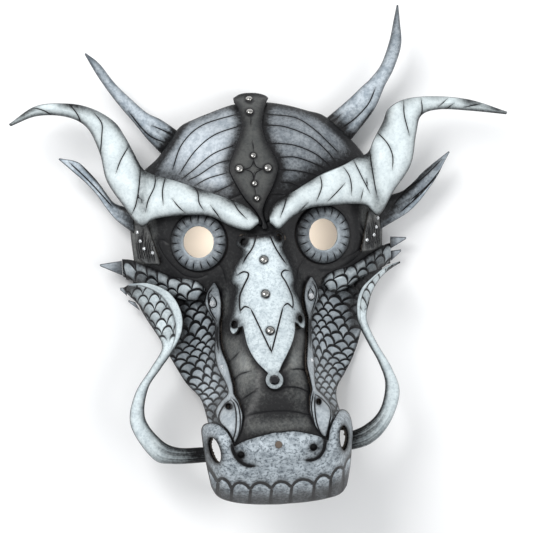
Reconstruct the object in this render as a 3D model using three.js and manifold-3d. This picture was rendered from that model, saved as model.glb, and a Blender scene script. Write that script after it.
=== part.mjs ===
// A dragon mask of moulded leather, lying on its rim with the face up.
// The wearer's eye line is y = 0, the middle of the face is x = 0 and the table is z = 0. Millimetres.

import * as THREE from 'three';
import { mergeVertices } from 'three/addons/utils/BufferGeometryUtils.js';
import Module from 'manifold-3d';

const wasm = await Module();
wasm.setup();

// Leather and fits
const LEATHER = 2.6;          // thickness of a moulded sheet, square to its surface
const GAP = 0.3;              // air between two pieces that touch
const MAX_LIFT = 2.4;         // a sheet's upright thickness grows on slopes, up to this many times

// The skull, a shallow dome
const SKULL = { halfWidth: 84, middleY: 15, toTop: 76, toBottom: 114, height: 54, squareness: 2.2,
  roundness: 0.6, flare: 0.06 };

// The eyes
const EYE = { x: 38.5, y: 0.5, z: 45, slope: 0.35, flat: 20, blend: 28, holeRadius: 9.8, rimRadius: 18.8 };
const PANEL_HOLE_RADIUS = 11;

// The muzzle's ridge, half-width and boxiness, each as [y, value] down the face
const RIDGE = [[-165, 58], [-160, 70], [-150, 91], [-138, 106], [-124, 113], [-105, 112], [-85, 107],
  [-56, 92], [-34, 77], [-13, 58], [0, 50], [12, 36], [25, 20], [45, 0]];
const MUZZLE_HALF_WIDTH = [[-165, 46], [-125, 48], [-112, 45], [-100, 39], [-85, 35], [-60, 30],
  [-40, 26], [-20, 21], [0, 17], [15, 15], [45, 15]];
const MUZZLE_BOXINESS = [[-165, 8], [-125, 8], [-112, 6.5], [-100, 5], [-60, 3.5], [45, 3.5]];
const MUZZLE_SINK = 4;        // takes the muzzle's flare off the rim
const NOSTRIL = { x: 42, y: -117, height: 18, across: 9, along: 11 };

// The lattice that every sheet is laid on
const LATTICE = { top: 98, bottom: -172, rows: 19, columns: [0, 11, 21, 30, 40, 52, 66, 78, 95] };
const FLOOR_DEPTH = 60;       // how far a cutter reaches under the table
const SKY = 220;              // height of an outline's prism

// A smooth curve through [at, value] pairs that never overshoots them
function profile(pairs) {
  const p = [...pairs].sort((a, b) => a[0] - b[0]);
  const rise = p.slice(1).map((q, i) => (q[1] - p[i][1]) / (q[0] - p[i][0]));
  const slope = p.map((q, i) => {
    if (i === 0) return rise[0];
    if (i === p.length - 1) return rise[i - 1];
    const product = rise[i - 1] * rise[i];
    return product <= 0 ? 0 : 2 * product / (rise[i - 1] + rise[i]);
  });
  return (at) => {
    if (at <= p[0][0]) return p[0][1];
    if (at >= p[p.length - 1][0]) return p[p.length - 1][1];
    const i = p.findIndex((q) => q[0] > at) - 1;
    const h = p[i + 1][0] - p[i][0];
    const t = (at - p[i][0]) / h;
    const s = 1 - t;
    return s * s * (1 + 2 * t) * p[i][1] + t * s * s * h * slope[i]
      + t * t * (3 - 2 * t) * p[i + 1][1] - t * t * s * h * slope[i + 1];
  };
}

const ridge = profile(RIDGE);
const muzzleHalfWidth = profile(MUZZLE_HALF_WIDTH);
const muzzleBoxiness = profile(MUZZLE_BOXINESS);

// Height of the moulded face over the table
function face(x, y) {
  const ax = Math.abs(x);
  const along = (y - SKULL.middleY) / (y > SKULL.middleY ? SKULL.toTop : SKULL.toBottom);
  const reach = (ax / SKULL.halfWidth) ** SKULL.squareness + Math.abs(along) ** SKULL.squareness;
  const inwards = (1 - reach) / 2;
  const skull = SKULL.height * (inwards + Math.hypot(inwards, SKULL.flare)) ** SKULL.roundness;
  const flare = ridge(y) / (1 + (ax / muzzleHalfWidth(y)) ** muzzleBoxiness(y));
  const muzzle = Math.max(0, flare - MUZZLE_SINK);
  const nostril = NOSTRIL.height
    * Math.exp(-(((ax - NOSTRIL.x) / NOSTRIL.across) ** 2) - ((y - NOSTRIL.y) / NOSTRIL.along) ** 2);
  const head = (skull ** 4 + muzzle ** 4) ** 0.25 + nostril;
  const socket = EYE.z - EYE.slope * (ax - EYE.x);
  const away = THREE.MathUtils.smoothstep(Math.hypot(ax - EYE.x, y - EYE.y), EYE.flat, EYE.blend);
  return head * away + socket * (1 - away);
}

// Upright thickness of a sheet of thickness 1 lying on a surface at x, y
function lift(surface, x, y) {
  const step = 1.5;
  const dx = (surface(x + step, y) - surface(x - step, y)) / (2 * step);
  const dy = (surface(x, y + step) - surface(x, y - step)) / (2 * step);
  return Math.min(MAX_LIFT, Math.hypot(1, dx, dy));
}

function normalAt(surface, x, y) {
  const step = 1.5;
  const dx = (surface(x + step, y) - surface(x - step, y)) / (2 * step);
  const dy = (surface(x, y + step) - surface(x, y - step)) / (2 * step);
  return new THREE.Vector3(-dx, -dy, 1).normalize();
}

// Height of a sheet's facets at x, y: the surface between the lattice's own points
function laid(surface, raise, x, y) {
  const ax = Math.abs(x);
  const i = LATTICE.columns.findIndex((c) => c > ax) - 1;
  const [x0, x1] = LATTICE.columns.slice(i, i + 2);
  const pitch = (LATTICE.top - LATTICE.bottom) / LATTICE.rows;
  const y0 = LATTICE.bottom + Math.floor((y - LATTICE.bottom) / pitch) * pitch;
  const corner = (cx, cy) => surface(Math.sign(x) * cx, cy) + raise * lift(surface, Math.sign(x) * cx, cy);
  const { lerp } = THREE.MathUtils;
  const across = (ax - x0) / (x1 - x0);
  return lerp(lerp(corner(x0, y0), corner(x1, y0), across),
    lerp(corner(x0, y0 + pitch), corner(x1, y0 + pitch), across), (y - y0) / pitch);
}

// A closed geometry as a solid, its faces turned outwards
function solidOf(geometry) {
  const bare = geometry.clone();
  bare.deleteAttribute('normal');
  bare.deleteAttribute('uv');
  const merged = mergeVertices(bare, 1e-4);
  const p = merged.attributes.position;
  const index = Array.from(merged.index.array);
  const a = new THREE.Vector3();
  const b = new THREE.Vector3();
  const c = new THREE.Vector3();
  let volume = 0;
  for (let i = 0; i < index.length; i += 3) {
    a.fromBufferAttribute(p, index[i]);
    b.fromBufferAttribute(p, index[i + 1]);
    c.fromBufferAttribute(p, index[i + 2]);
    volume += a.dot(b.cross(c));
  }
  if (volume < 0) index.reverse();
  return new wasm.Manifold(new wasm.Mesh({
    numProp: 3,
    vertProperties: Float32Array.from(p.array),
    triVerts: Uint32Array.from(index),
  }));
}

// The largest body of a cut
function mainBody(manifold) {
  return manifold.decompose().sort((a, b) => b.volume() - a.volume())[0];
}

// Everything under a surface raised by a number of thicknesses
const underCache = new Map();
function under(raise, surface = face) {
  const key = `${surface.name} ${raise}`;
  if (!underCache.has(key)) {
    const half = LATTICE.columns.length - 1;
    const length = LATTICE.top - LATTICE.bottom;
    const slab = new THREE.BoxGeometry(2 * half, length, 2, 2 * half, LATTICE.rows, 1);
    slab.translate(0, LATTICE.bottom + length / 2, 0);
    const p = slab.attributes.position;
    for (let i = 0; i < p.count; i++) {
      const column = Math.round(p.getX(i));
      const x = Math.sign(column) * LATTICE.columns[Math.abs(column)];
      const y = p.getY(i);
      p.setXYZ(i, x, y, p.getZ(i) > 0 ? surface(x, y) + raise * lift(surface, x, y) : -FLOOR_DEPTH);
    }
    underCache.set(key, solidOf(slab));
  }
  return underCache.get(key);
}

const vectors = (points) => points.map(([x, y]) => new THREE.Vector2(x, y));

// An outline of smooth runs that meet at corners; a run is a list of [x, y]
function outline(runs, steps = 2) {
  const points = [];
  for (const run of runs) {
    const curve = new THREE.SplineCurve(vectors(run));
    points.push(...(run.length > 2 ? curve.getPoints((run.length - 1) * steps) : curve.points));
  }
  return points.filter((q, i) => q.distanceTo(points[(i + 1) % points.length]) > 0.05);
}

const mirrored = (runs, side) => runs.map((run) => run.map(([x, y]) => [side * x, y]));

// A closed outline's runs from two halves, both given as right ones, from the top to the bottom
function halves(right, left) {
  return [...right, ...mirrored(left, -1).reverse().map((run) => [...run].reverse())];
}

const bothSides = (runs) => halves(runs, runs);

// The outline moved outwards by a small distance
function grown(points, by) {
  const outwards = THREE.ShapeUtils.isClockWise(points) ? -by : by;
  return points.map((q, i) => {
    const before = points[(i + points.length - 1) % points.length];
    const along = points[(i + 1) % points.length].clone().sub(before);
    return q.clone().add(new THREE.Vector2(along.y, -along.x).setLength(outwards));
  });
}

function prism(points) {
  return solidOf(new THREE.ExtrudeGeometry(new THREE.Shape(points), { depth: SKY, bevelEnabled: false }));
}

function drill(x, y, radius, sides = 6) {
  const bar = new THREE.CylinderGeometry(radius, radius, 2 * SKY, sides);
  bar.rotateX(Math.PI / 2);
  bar.translate(x, y, 0);
  return solidOf(bar);
}

function ellipseDrill(x, y, across, along, turn, sides = 12) {
  const ring = new THREE.EllipseCurve(x, y, across, along, 0, 2 * Math.PI, false, turn);
  return prism(ring.getPoints(sides).slice(0, -1));
}

// A moulded sheet between two heights over a surface, inside an outline, cut off at the table
function sheet(points, low, high, surface = face) {
  return mainBody(under(high, surface).intersect(prism(points)).subtract(under(low, surface)));
}

// An edge turned down to the table, inside a sheet's outline and outside another
function turnedEdge(points, inside, high) {
  return prism(points).subtract(prism(inside)).intersect(under(high));
}

// A limb between two edges. A station is [edge A x, y, z, edge B x, y, z, swell above, swell below].
function limb(stations, side, along, across) {
  const columns = stations[0].map((_, k) => profile(stations.map((s, i) => [i, s[k]])));
  const blank = new THREE.BoxGeometry(2, 2, 2, across, along, 1);
  const p = blank.attributes.position;
  const edge = 0.7;
  for (let i = 0; i < p.count; i++) {
    const t = (p.getX(i) + 1) / 2;
    const s = (p.getY(i) + 1) / 2 * (stations.length - 1);
    const v = columns.map((column) => column(s));
    const round = Math.sqrt(Math.max(0, 1 - (2 * t - 1) ** 2));
    const z = THREE.MathUtils.lerp(v[2], v[5], t);
    const up = p.getZ(i) > 0;
    p.setXYZ(i, side * THREE.MathUtils.lerp(v[0], v[3], t), THREE.MathUtils.lerp(v[1], v[4], t),
      up ? z + edge + v[6] * round : z - edge - v[7] * round);
  }
  return solidOf(blank);
}

// Materials
const silver = new THREE.MeshStandardMaterial({ color: 0xc3ccd1, roughness: 0.45, metalness: 0.35 });
const white = new THREE.MeshStandardMaterial({ color: 0xe4ebed, roughness: 0.5, metalness: 0.2 });
const dark = new THREE.MeshStandardMaterial({ color: 0x3c3d3e, roughness: 0.5, metalness: 0.15 });
const scaled = new THREE.MeshStandardMaterial({ color: 0x8b9296, roughness: 0.45, metalness: 0.3 });
const chrome = new THREE.MeshStandardMaterial({ color: 0xd9d6d0, roughness: 0.15, metalness: 1 });
const crystal = new THREE.MeshStandardMaterial({ color: 0xeef1f4, roughness: 0.05, metalness: 0 });

const mask = new THREE.Group();

function add(name, manifold, material) {
  const { vertProperties, triVerts } = manifold.getMesh();
  const geometry = new THREE.BufferGeometry();
  geometry.setAttribute('position', new THREE.BufferAttribute(Float32Array.from(vertProperties), 3));
  geometry.setIndex(new THREE.BufferAttribute(Uint32Array.from(triVerts), 1));
  geometry.computeVertexNormals();
  const mesh = new THREE.Mesh(geometry, material);
  mesh.name = name;
  mask.add(mesh);
}

const SIDES = [['left', -1], ['right', 1]];

// The joint between forehead and face, hidden under the brows
const joint = (x) => 8 + 0.6 * x - 0.0035 * x * x;
const JOINT_XS = [72, 54, 36, 18, 0];

// The forehead's rim, both halves given as right ones
const FOREHEAD_RIM = {
  right: [[0, 87], [12, 86], [24, 83.4], [36, 79.4], [46, 76], [56, 66.6], [65, 56.4], [70, 50]],
  left: [[0, 87], [12, 85.6], [25.6, 81.4], [36, 77.8], [45, 73.6], [52.5, 64], [60, 55], [68, 48.5]],
};

function forehead() {
  const half = (more) => Object.values(FOREHEAD_RIM).map((rim) => [rim, more(rim[rim.length - 1])]);
  const points = outline(halves(...half(() => JOINT_XS.map((x) => [x, joint(x) + 0.2]))));
  const inside = outline(halves(...half(([x, y]) => [[x, y], [x, -20], [0, -20]])));
  return sheet(points, -LEATHER, 0).add(turnedEdge(points, grown(inside, -LEATHER), 0));
}

// The crest strap runs on over the forehead's rim
const CREST_TOP = 80;
function crestSurface(x, y) {
  const tongue = y > CREST_TOP ? 20.5 - 0.9 * (y - CREST_TOP) : 0;
  return Math.max(face(x, y), tongue);
}

// The crest's top edge from left to right, its right edge downwards and its left edge upwards
const CREST_RUNS = [
  [[-10.1, 90], [-6, 92.3], [-1.4, 93], [5.3, 92.5], [10.3, 90.7], [12.1, 88.7]],
  [[12.1, 88.7], [9.8, 85], [7.6, 79.7], [5.8, 72.8], [5.7, 67], [7.2, 60.1], [10.4, 53.1], [12.7, 47.4],
    [13.2, 42.9], [11.9, 38.5], [4.1, 23.4], [1.8, 16.9], [2.7, 11.3], [3.8, 7.4], [3, 5.6]],
  [[0.4, 5.6], [-0.4, 7.6], [-0.1, 10.4], [-3.5, 17.2], [-9.6, 25.4], [-14.4, 34.5], [-17.2, 41.4],
    [-17.7, 44.8], [-16.6, 49.2], [-12.5, 57.9], [-9, 65.6], [-7.2, 71.3], [-7.1, 77.1], [-8, 82.5],
    [-10.1, 86.8]],
];

const crest = () => sheet(outline(CREST_RUNS, 1), GAP, LEATHER + GAP, crestSurface);

// Distance from the middle of the face to a side strap's middle line, and its half-width, as [y, value]
const STRAP_X = {
  left: profile([[-25, 31], [-37.5, 32.3], [-50, 30.6], [-65, 31.4], [-77, 29.7], [-91, 27], [-104, 29.2],
    [-122, 28.4]]),
  right: profile([[-25, 29.5], [-37.5, 28.8], [-50, 26.6], [-65, 24.6], [-82, 22.6], [-91, 22.8], [-104, 26],
    [-122, 26.6]]),
};
const strapX = (side, y) => STRAP_X[side < 0 ? 'left' : 'right'](y);
const strapHalfWidth = profile([[-25, 0.8], [-31, 4], [-37.5, 5], [-44, 3.6], [-51, 1.4], [-60, 1.4],
  [-68, 2.2], [-77, 3], [-86, 2], [-92, 1.6], [-98, 5], [-105, 7.5], [-113, 6], [-122, 1]]);
const STRAP_TOP = -25;
const STRAP_END = -122;
const STRAP_HOLES = { left: [-29, -100.3], right: [25, -100.5] };

function facePanel() {
  const top = [...JOINT_XS].reverse().map((x) => [x, joint(x) - 0.2]);
  const temple = [[72, joint(72) - 0.2], [79, 24], [79.4, 8], [78.4, -8]];
  const cheekbone = [[[78.4, -8], [83.4, -11]], [[83.4, -11], [84, -20]]];
  const underEye = [[84, -20], [62, -24], [46, -27], [36, -31]];
  const half = (side) => {
    const muzzle = [];
    for (let y = -36; y >= -120; y -= 12) muzzle.push([strapX(side, y), y]);
    return [top, temple, ...cheekbone, underEye, muzzle, [[28, -133], [0, -135]]];
  };
  const points = outline(halves(half(1), half(-1)));
  const below = [[84, -20], [84, -140], [0, -140]];
  const inside = outline(bothSides([[[0, 90], [72, 90]], temple, ...cheekbone, below]));
  let panel = sheet(points, -LEATHER, 0).add(turnedEdge(points, grown(inside, -LEATHER), 0));
  for (const [, side] of SIDES) panel = panel.subtract(drill(side * EYE.x, EYE.y, PANEL_HOLE_RADIUS, 14));
  return mainBody(panel);
}

function eyeRingBlank(side, growth) {
  const hole = EYE.holeRadius - growth;
  const rim = EYE.rimRadius + growth;
  const section = [[hole, -3], [hole, 2.4 + growth], [hole + 3, 4.2 + growth], [rim, 1 + growth], [rim, -3],
    [hole, -3]];
  const ring = new THREE.LatheGeometry(section.map(([r, z]) => new THREE.Vector2(r, z)), 16);
  ring.rotateX(Math.PI / 2);
  ring.rotateY(Math.atan(side * EYE.slope));
  ring.translate(side * EYE.x, EYE.y, EYE.z);
  return solidOf(ring);
}

const eyeRing = (side) => mainBody(eyeRingBlank(side, 0).subtract(under(GAP)));

// The nose plate's halves, both given as right ones: lobe at the top, flank, wing and tip
const NOSE_RUNS = {
  right: [
    [[-1.2, 2.5], [9, 4], [11.5, 3.7], [13.5, 1.6], [14.1, -1.2], [12, -5.9]],
    [[12, -5.9], [12.9, -9], [15, -13], [17.6, -20], [18.4, -26.5], [16.9, -30]],
    [[16.9, -30], [17.6, -33.5], [19.8, -38], [21.6, -45], [22.6, -51], [22.4, -55], [20.8, -56.8],
      [18.4, -55.8], [16.4, -53.4]],
    [[15.3, -52.6], [15.1, -56.5], [13.9, -61], [11.6, -66], [8, -72], [4.6, -77.2], [3.2, -80]],
  ],
  left: [
    [[1.2, 2.5], [11.8, 3.1], [14.6, 1.9], [16.1, -0.6], [15.7, -3.1], [12.5, -6.8]],
    [[12.5, -6.8], [13.3, -9.5], [15.7, -13], [18, -16.5], [19.8, -20.5], [20.8, -24.6], [19.4, -27.6]],
    [[18.4, -28.2], [18.7, -31], [20, -36], [21.9, -44], [23.9, -51], [24.3, -55.2], [22.6, -57.8],
      [20.2, -56.4], [18.6, -53.6]],
    [[17.2, -53], [16.8, -58], [16, -64], [14, -70], [11, -75.2], [7.6, -79.2], [5.6, -81.4]],
  ],
};
const NOSE_BOSS = { x: -1.2, y: -85.8, radius: 6 };
const NOSE_HOLES = [[-11.9, -1.1, 0.35], [10.3, 0.4, -0.4], [-21.3, -51.3, 0.1], [19, -50.4, -0.2]];

function nosePlate() {
  let plate = sheet(outline(halves(NOSE_RUNS.right, NOSE_RUNS.left), 1), GAP, LEATHER);
  const boss = new THREE.EllipseCurve(NOSE_BOSS.x, NOSE_BOSS.y, NOSE_BOSS.radius, NOSE_BOSS.radius);
  plate = plate.add(sheet(boss.getPoints(12).slice(0, -1), GAP, LEATHER));
  for (const [x, y, turn] of NOSE_HOLES) plate = plate.subtract(ellipseDrill(x, y, 1.6, 2.1, -turn, 8));
  return mainBody(plate);
}

function sideStrap(name, side) {
  const inner = [];
  const outer = [];
  for (let i = 0; i <= 14; i++) {
    const y = THREE.MathUtils.lerp(STRAP_TOP, STRAP_END, i / 14);
    inner.push([side * (strapX(side, y) - strapHalfWidth(y)), y]);
    outer.unshift([side * (strapX(side, y) + strapHalfWidth(y)), y]);
  }
  const beside = prism(grown(SNOUT_OUTLINE, GAP + 0.1));
  const strap = sheet(outline([inner, outer], 1), GAP, LEATHER).subtract(beside);
  return mainBody(strap.subtract(drill(...STRAP_HOLES[name], 1.6)));
}

// The cheeks' outer edges upwards
const CHEEK_EDGE = {
  right: [[41, -112], [42.5, -98], [50, -88], [57, -77], [62, -64], [64.4, -52], [66.4, -43.6], [71, -33],
    [78, -25]],
  left: [[41, -112], [42.5, -98], [50, -88], [57, -75], [64.5, -60], [69, -52], [74.2, -42.8], [79, -32]],
};

function cheek(name, side) {
  const inner = [];
  for (let y = -30; y >= -118; y -= 11) inner.push([strapX(side, y) - 5, y]);
  const jaw = [[24, -119], [41, -119]];
  const outer = CHEEK_EDGE[name];
  const top = [[80, -18], [60, -20], [44, -23], [26, -28]];
  const points = outline(mirrored([inner, jaw, outer, top], side));
  const rest = [[60, -88], ...outer.slice(2)];
  const runs = [[[0, -20], [0, -140], [60, -140], [60, -88]], rest, [[86, 0], [0, 0]]];
  const inside = outline(mirrored(runs, side), 1);
  const high = -LEATHER - GAP;
  return mainBody(sheet(points, high - LEATHER, high).add(turnedEdge(points, grown(inside, -LEATHER), high)));
}

// The snout plate's halves, both given as right ones: flap, nostril lobe, side and lip
const SNOUT_RUNS = {
  right: [
    [[0, -117], [9, -116.8], [21.5, -120], [28.5, -123.5]],
    [[28.5, -123.5], [30, -117], [33.6, -111.2], [39.5, -107.4], [45.4, -109.2], [48, -114.6], [47.6, -124]],
    [[47.6, -124], [46.4, -140], [43.6, -156]],
    [[43.6, -156], [39.6, -160], [32, -161.8], [18, -163.6], [0, -164.2]],
  ],
  left: [
    [[0, -117], [5, -117], [21.1, -120.4], [28, -123.5]],
    [[28, -123.5], [30, -118], [32.8, -113.3], [37, -110.2], [42.4, -110.4], [45.6, -114.4], [45.6, -124]],
    [[45.6, -124], [43.4, -139], [41.4, -150]],
    [[41.4, -150], [37.6, -156.4], [29, -160.2], [16, -162.8], [0, -164.2]],
  ],
};
const SNOUT_OUTLINE = outline(halves(SNOUT_RUNS.right, SNOUT_RUNS.left));

// Teeth pressed along the lip: the band that they stand in lies lower, with a slot between each two.
// The gum arches from knot to knot.
const TOOTH_KNOTS = [[-50, -135], [-37.9, -147], [-29.9, -151.1], [-18.6, -152.1], [-5.7, -152.6],
  [6.5, -152.5], [20.3, -151.5], [30.4, -148.8], [39.3, -143.8], [50, -140]];
const TEETH = { arch: [[0.04, 0], [0.24, 4.2], [0.66, 4], [0.96, 0]], slot: 1.2, depth: 0.9 };

function teethCutter() {
  const band = [[-60, -180], [-60, -135]];
  let slots = null;
  TOOTH_KNOTS.slice(1).forEach(([x1, y1], i) => {
    const [x0, y0] = TOOTH_KNOTS[i];
    for (const [t, rise] of TEETH.arch) band.push([x0 + (x1 - x0) * t, y0 + (y1 - y0) * t + rise]);
    if (i > 0) {
      const slot = prism(vectors([[x0, y0 + 1], [x0 + TEETH.slot / 2, -180], [x0 - TEETH.slot / 2, -180]]));
      slots = slots ? slots.add(slot) : slot;
    }
  });
  band.push([60, -140], [60, -180]);
  return prism(vectors(band)).subtract(under(LEATHER - TEETH.depth))
    .add(slots.subtract(under(LEATHER - 2 * TEETH.depth)));
}

function snoutPlate() {
  let plate = sheet(SNOUT_OUTLINE, GAP, LEATHER).subtract(teethCutter());
  plate = plate.subtract(ellipseDrill(-39.6, -126, 2.9, 8, 0.22));
  plate = plate.subtract(ellipseDrill(39, -123.6, 3.2, 7.8, 0.04));
  for (const [x, y] of [[-24.4, -129.4], [19.5, -127.6]]) plate = plate.subtract(drill(x, y, 1.8));
  return mainBody(plate);
}

function temple(side) {
  const wedge = [[[69.5, 14], [77.2, 14]], [[77.4, 2], [76.6, -7]],
    [[72, -11], [63, -12]], [[66, 0], [69.5, 14]]];
  return sheet(outline(mirrored(wedge, side)), GAP, LEATHER - 0.4);
}

// Brow and ear horn, one twisted piece a side: upper edge x, y, z, lower edge x, y, z,
// swell above, swell below
const BROW_HORN = {
  right: [
    [4.6, 15.5, 62, 5.2, 9, 62, 2, 8], [8.4, 21.5, 60, 10.4, 5.5, 62, 6, 10],
    [18, 26.5, 57, 19, 12.2, 59, 7, 12], [29, 32.5, 53, 31, 17.2, 54, 7.5, 14],
    [41, 38.5, 48, 44, 18, 50, 8, 16], [54, 43, 41, 57, 18.3, 45, 8, 16],
    [64, 47.6, 34, 67, 17, 39, 7.5, 10], [71.5, 50.5, 30, 75.5, 10.6, 35, 7, 2],
    [75.5, 58, 30, 86, 25, 32, 7.5, 0], [82, 69, 31, 98, 41, 30, 7.5, -1],
    [86, 77, 32, 102.5, 60, 31, 6, -1], [97, 82.4, 33, 106.5, 71.5, 32, 4, 1],
    [116, 83, 33, 118, 74.6, 33, 3, 2], [138, 79.4, 34, 137, 72.6, 34, 2.4, 2],
    [160.4, 70.6, 35, 159.6, 69, 35, 0.2, 0.2]],
  left: [
    [2.4, 13.5, 62, 2, 9.4, 62, 2, 8], [7.4, 19.4, 60, 9, 5.6, 62, 6, 10],
    [17, 25, 57, 19.5, 9, 59, 7, 12], [29, 30.2, 53, 31, 15.7, 54, 7.5, 14],
    [40, 35, 49, 44, 17.4, 50, 8, 16], [52, 40, 42, 56, 17.3, 45, 8, 16],
    [62, 43.6, 35, 66, 16, 39, 7.5, 10], [70, 48.5, 30, 74, 12.5, 35, 7, 2],
    [75, 58.5, 30, 83, 25, 32, 7.5, 0], [80, 69, 31, 93, 42, 30, 7.5, -1],
    [86, 78.5, 32, 96.5, 60, 31, 6, -1], [98, 86.9, 33, 103.5, 76, 32, 4.5, 1],
    [113, 91.5, 33, 116, 83.4, 33, 3.2, 2], [134, 91.2, 34, 134, 84.8, 34, 2.4, 2],
    [151.8, 80.8, 35, 150.6, 79.4, 35, 0.2, 0.2]],
};

function browHorn(name, side) {
  return mainBody(limb(BROW_HORN[name], side, 20, 4).subtract(under(GAP)).subtract(eyeRingBlank(side, GAP)));
}

// Upper horns, tucked against the forehead's rim
const HORN = {
  right: [
    [44, 71, 12, 58, 54, 12, 4, 2], [61.5, 84, 14, 72.5, 70, 14, 4.5, 2],
    [70.5, 91.6, 16, 79.8, 79.4, 16, 4, 2], [77.8, 97.8, 18, 86, 92, 18, 3.6, 2],
    [84.4, 106, 21, 92, 102.4, 21, 3.2, 2], [89.8, 119.5, 25, 97.2, 117, 25, 2.8, 1.6],
    [92.8, 132, 29, 96.8, 131.6, 29, 1.6, 1], [95, 141.6, 33, 96, 141.4, 33, 0.1, 0.1]],
  left: [
    [43, 69, 12, 54, 54, 12, 4, 2], [56, 79, 14, 65, 66.5, 14, 4.5, 2], [65, 84, 16, 73, 77.5, 16, 4, 2],
    [75, 93.5, 19, 80.8, 87.4, 19, 3.4, 2], [84.2, 103.4, 22, 88.6, 98.4, 22, 3, 2],
    [93, 115.7, 26, 95.8, 110, 26, 2.2, 1.4], [101.3, 122.7, 30, 102, 121.8, 30, 0.1, 0.1]],
};

function horn(name, side) {
  const half = (rim) => [rim, [rim[rim.length - 1], [70, 0], [0, 0]]];
  const dome = outline(halves(half(FOREHEAD_RIM.right), half(FOREHEAD_RIM.left)));
  return mainBody(limb(HORN[name], side, 9, 3).subtract(prism(grown(dome, GAP))));
}

// The ears behind the brows
const EAR = {
  right: [
    [77.9, 22, 18.5, 77.8, 2, 17.5, 2.5, 0], [91, 24.5, 15, 95, 10.8, 14, 3, 0],
    [98.8, 28, 16, 103, 17.5, 16, 3, 0], [104.8, 34.6, 17, 109.5, 25, 17, 2.8, 0],
    [112, 40.4, 19, 115.6, 33, 19, 2.2, 0], [118.6, 45, 20, 120.4, 41.4, 20, 1.4, 0],
    [123.4, 48.4, 22, 124.1, 47.8, 22, 0.1, 0]],
  left: [
    [77.9, 24, 18.5, 77.8, 8.5, 17.5, 2.5, 0], [88, 28, 15, 88, 17.5, 14, 3, 0],
    [92.4, 33, 16, 93.8, 25, 16, 3, 0],
    [97, 40.4, 17, 99.5, 34, 17, 2.8, 0], [103, 48.2, 18, 106, 42, 18, 2.4, 0],
    [110.4, 55.4, 20, 113.6, 49.4, 20, 1.8, 0], [121.6, 58.4, 22, 122.1, 57.6, 22, 0.1, 0]],
};

// Whiskers: inner edge, outer edge. They leave from under the snout's side, sweep round and open
// into a scaled leaf.
const WHISKER = {
  right: [
    [42, -125, 40, 41.6, -135.6, 40, 3, 2], [57, -119.8, 45, 60, -131.6, 44, 4.5, 4.5],
    [67.5, -110.4, 46, 73, -119.6, 45, 5, 5], [72.5, -95, 40, 81.2, -101, 39, 4.5, 4.5],
    [69.5, -81.5, 37, 77.6, -85.4, 36, 4, 4], [63.6, -69, 37, 69.4, -69.6, 37, 3.2, 3.2],
    [58, -56, 40, 63.6, -54.4, 39, 3.2, 3], [57.2, -44.7, 44, 66.4, -43.5, 32, 3, 1.5],
    [60.5, -34.8, 46, 70, -35.6, 28, 3, 0.5], [68.5, -27.6, 43, 75.6, -28.2, 26, 2.6, 0.5],
    [78, -21.6, 38, 82, -23.2, 28, 2, 0.5], [87, -19, 34, 87.4, -20, 33, 0.1, 0.1]],
  left: [
    [42, -127, 40, 41.6, -136.5, 40, 3, 2], [59, -126, 45, 63, -136, 44, 4.5, 4.5],
    [69.5, -120.4, 46, 75.6, -131.6, 45, 5, 5], [78.4, -106.5, 40, 87.6, -111, 39, 4.5, 4.5],
    [75.5, -89, 37, 84, -92, 36, 4, 4], [67, -77, 37, 73, -76, 37, 3.2, 3.2],
    [58.6, -66, 41, 65.4, -64.4, 38, 3.2, 3], [52.6, -54, 45, 67, -55.8, 26, 3, 1.5],
    [52.4, -42, 47, 71.6, -46.6, 17, 3, 0.5], [58.6, -30, 46, 77.6, -36.4, 14, 2.6, 0.5],
    [70.5, -23.4, 41, 84, -29.4, 18, 2, 0.5], [82.5, -22.6, 34, 87, -25.4, 24, 0.6, 0.3]],
};

// The cheekbones, scaled rolls under the eyes: upper edge, lower edge
const CHEEKBONE_END = { left: 86, right: 84 };
const CHEEKBONE = (end) => [
  [end, -7, 11, end, -18, 9, 3.5, 2], [80, -8, 16, 79.5, -21.5, 13, 6, 6],
  [72.5, -11.8, 24, 71, -25, 19, 7, 10], [65, -15.6, 30, 62, -28.5, 25, 7, 12],
  [56, -20, 36, 53.5, -33.4, 31, 6.5, 12], [47, -21.6, 41, 45, -36, 37, 6, 12],
  [41, -24, 44, 40.4, -34.6, 42, 4.5, 10], [37, -27.4, 46, 37, -30.6, 46, 0.5, 6]];

const cheekbone = (name, side) => mainBody(
  limb(CHEEKBONE(CHEEKBONE_END[name]), side, 11, 4).subtract(under(GAP)),
);

// Spikes at the cheekbones' ends: upper root, lower root and tip as x, y, z
const SPIKES = {
  right: [[[84.4, -3, 11], [84.4, -10.6, 10], [94.1, -4.6, 14]],
    [[84.4, -12, 9], [84.4, -18.4, 8], [90.6, -12.2, 12]]],
  left: [[[86.3, -8, 11], [86.3, -17.4, 9], [100.2, -10, 14]],
    [[84.6, -24.7, 9], [84.2, -30.5, 8], [88.4, -25.6, 10]],
    [[79.2, -34.7, 8], [76.6, -40.2, 8], [83.6, -33.6, 9]]],
};

function spike([rootA, rootB, tip], side) {
  const point = [tip[0], tip[1] + 0.6, tip[2], tip[0], tip[1] - 0.6, tip[2], 0, 0];
  return limb([[...rootA, ...rootB, 2.4, 0.6], point], side, 2, 4);
}

// A round head sitting on a surface at x, y, over a sheet whose top is raised by so many thicknesses
function head(x, y, radius, height, raise, surface = face, sides = 6) {
  const section = [[0, -3], [radius, -3], [radius, height * 0.4], [0, height]];
  const button = new THREE.LatheGeometry(section.map(([r, z]) => new THREE.Vector2(r, z)), sides);
  button.rotateX(Math.PI / 2);
  const turn = new THREE.Quaternion().setFromUnitVectors(new THREE.Vector3(0, 0, 1), normalAt(surface, x, y));
  button.applyQuaternion(turn);
  button.translate(x, y, laid(surface, raise, x, y));
  return mainBody(solidOf(button).subtract(under(raise + GAP, surface)));
}

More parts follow.
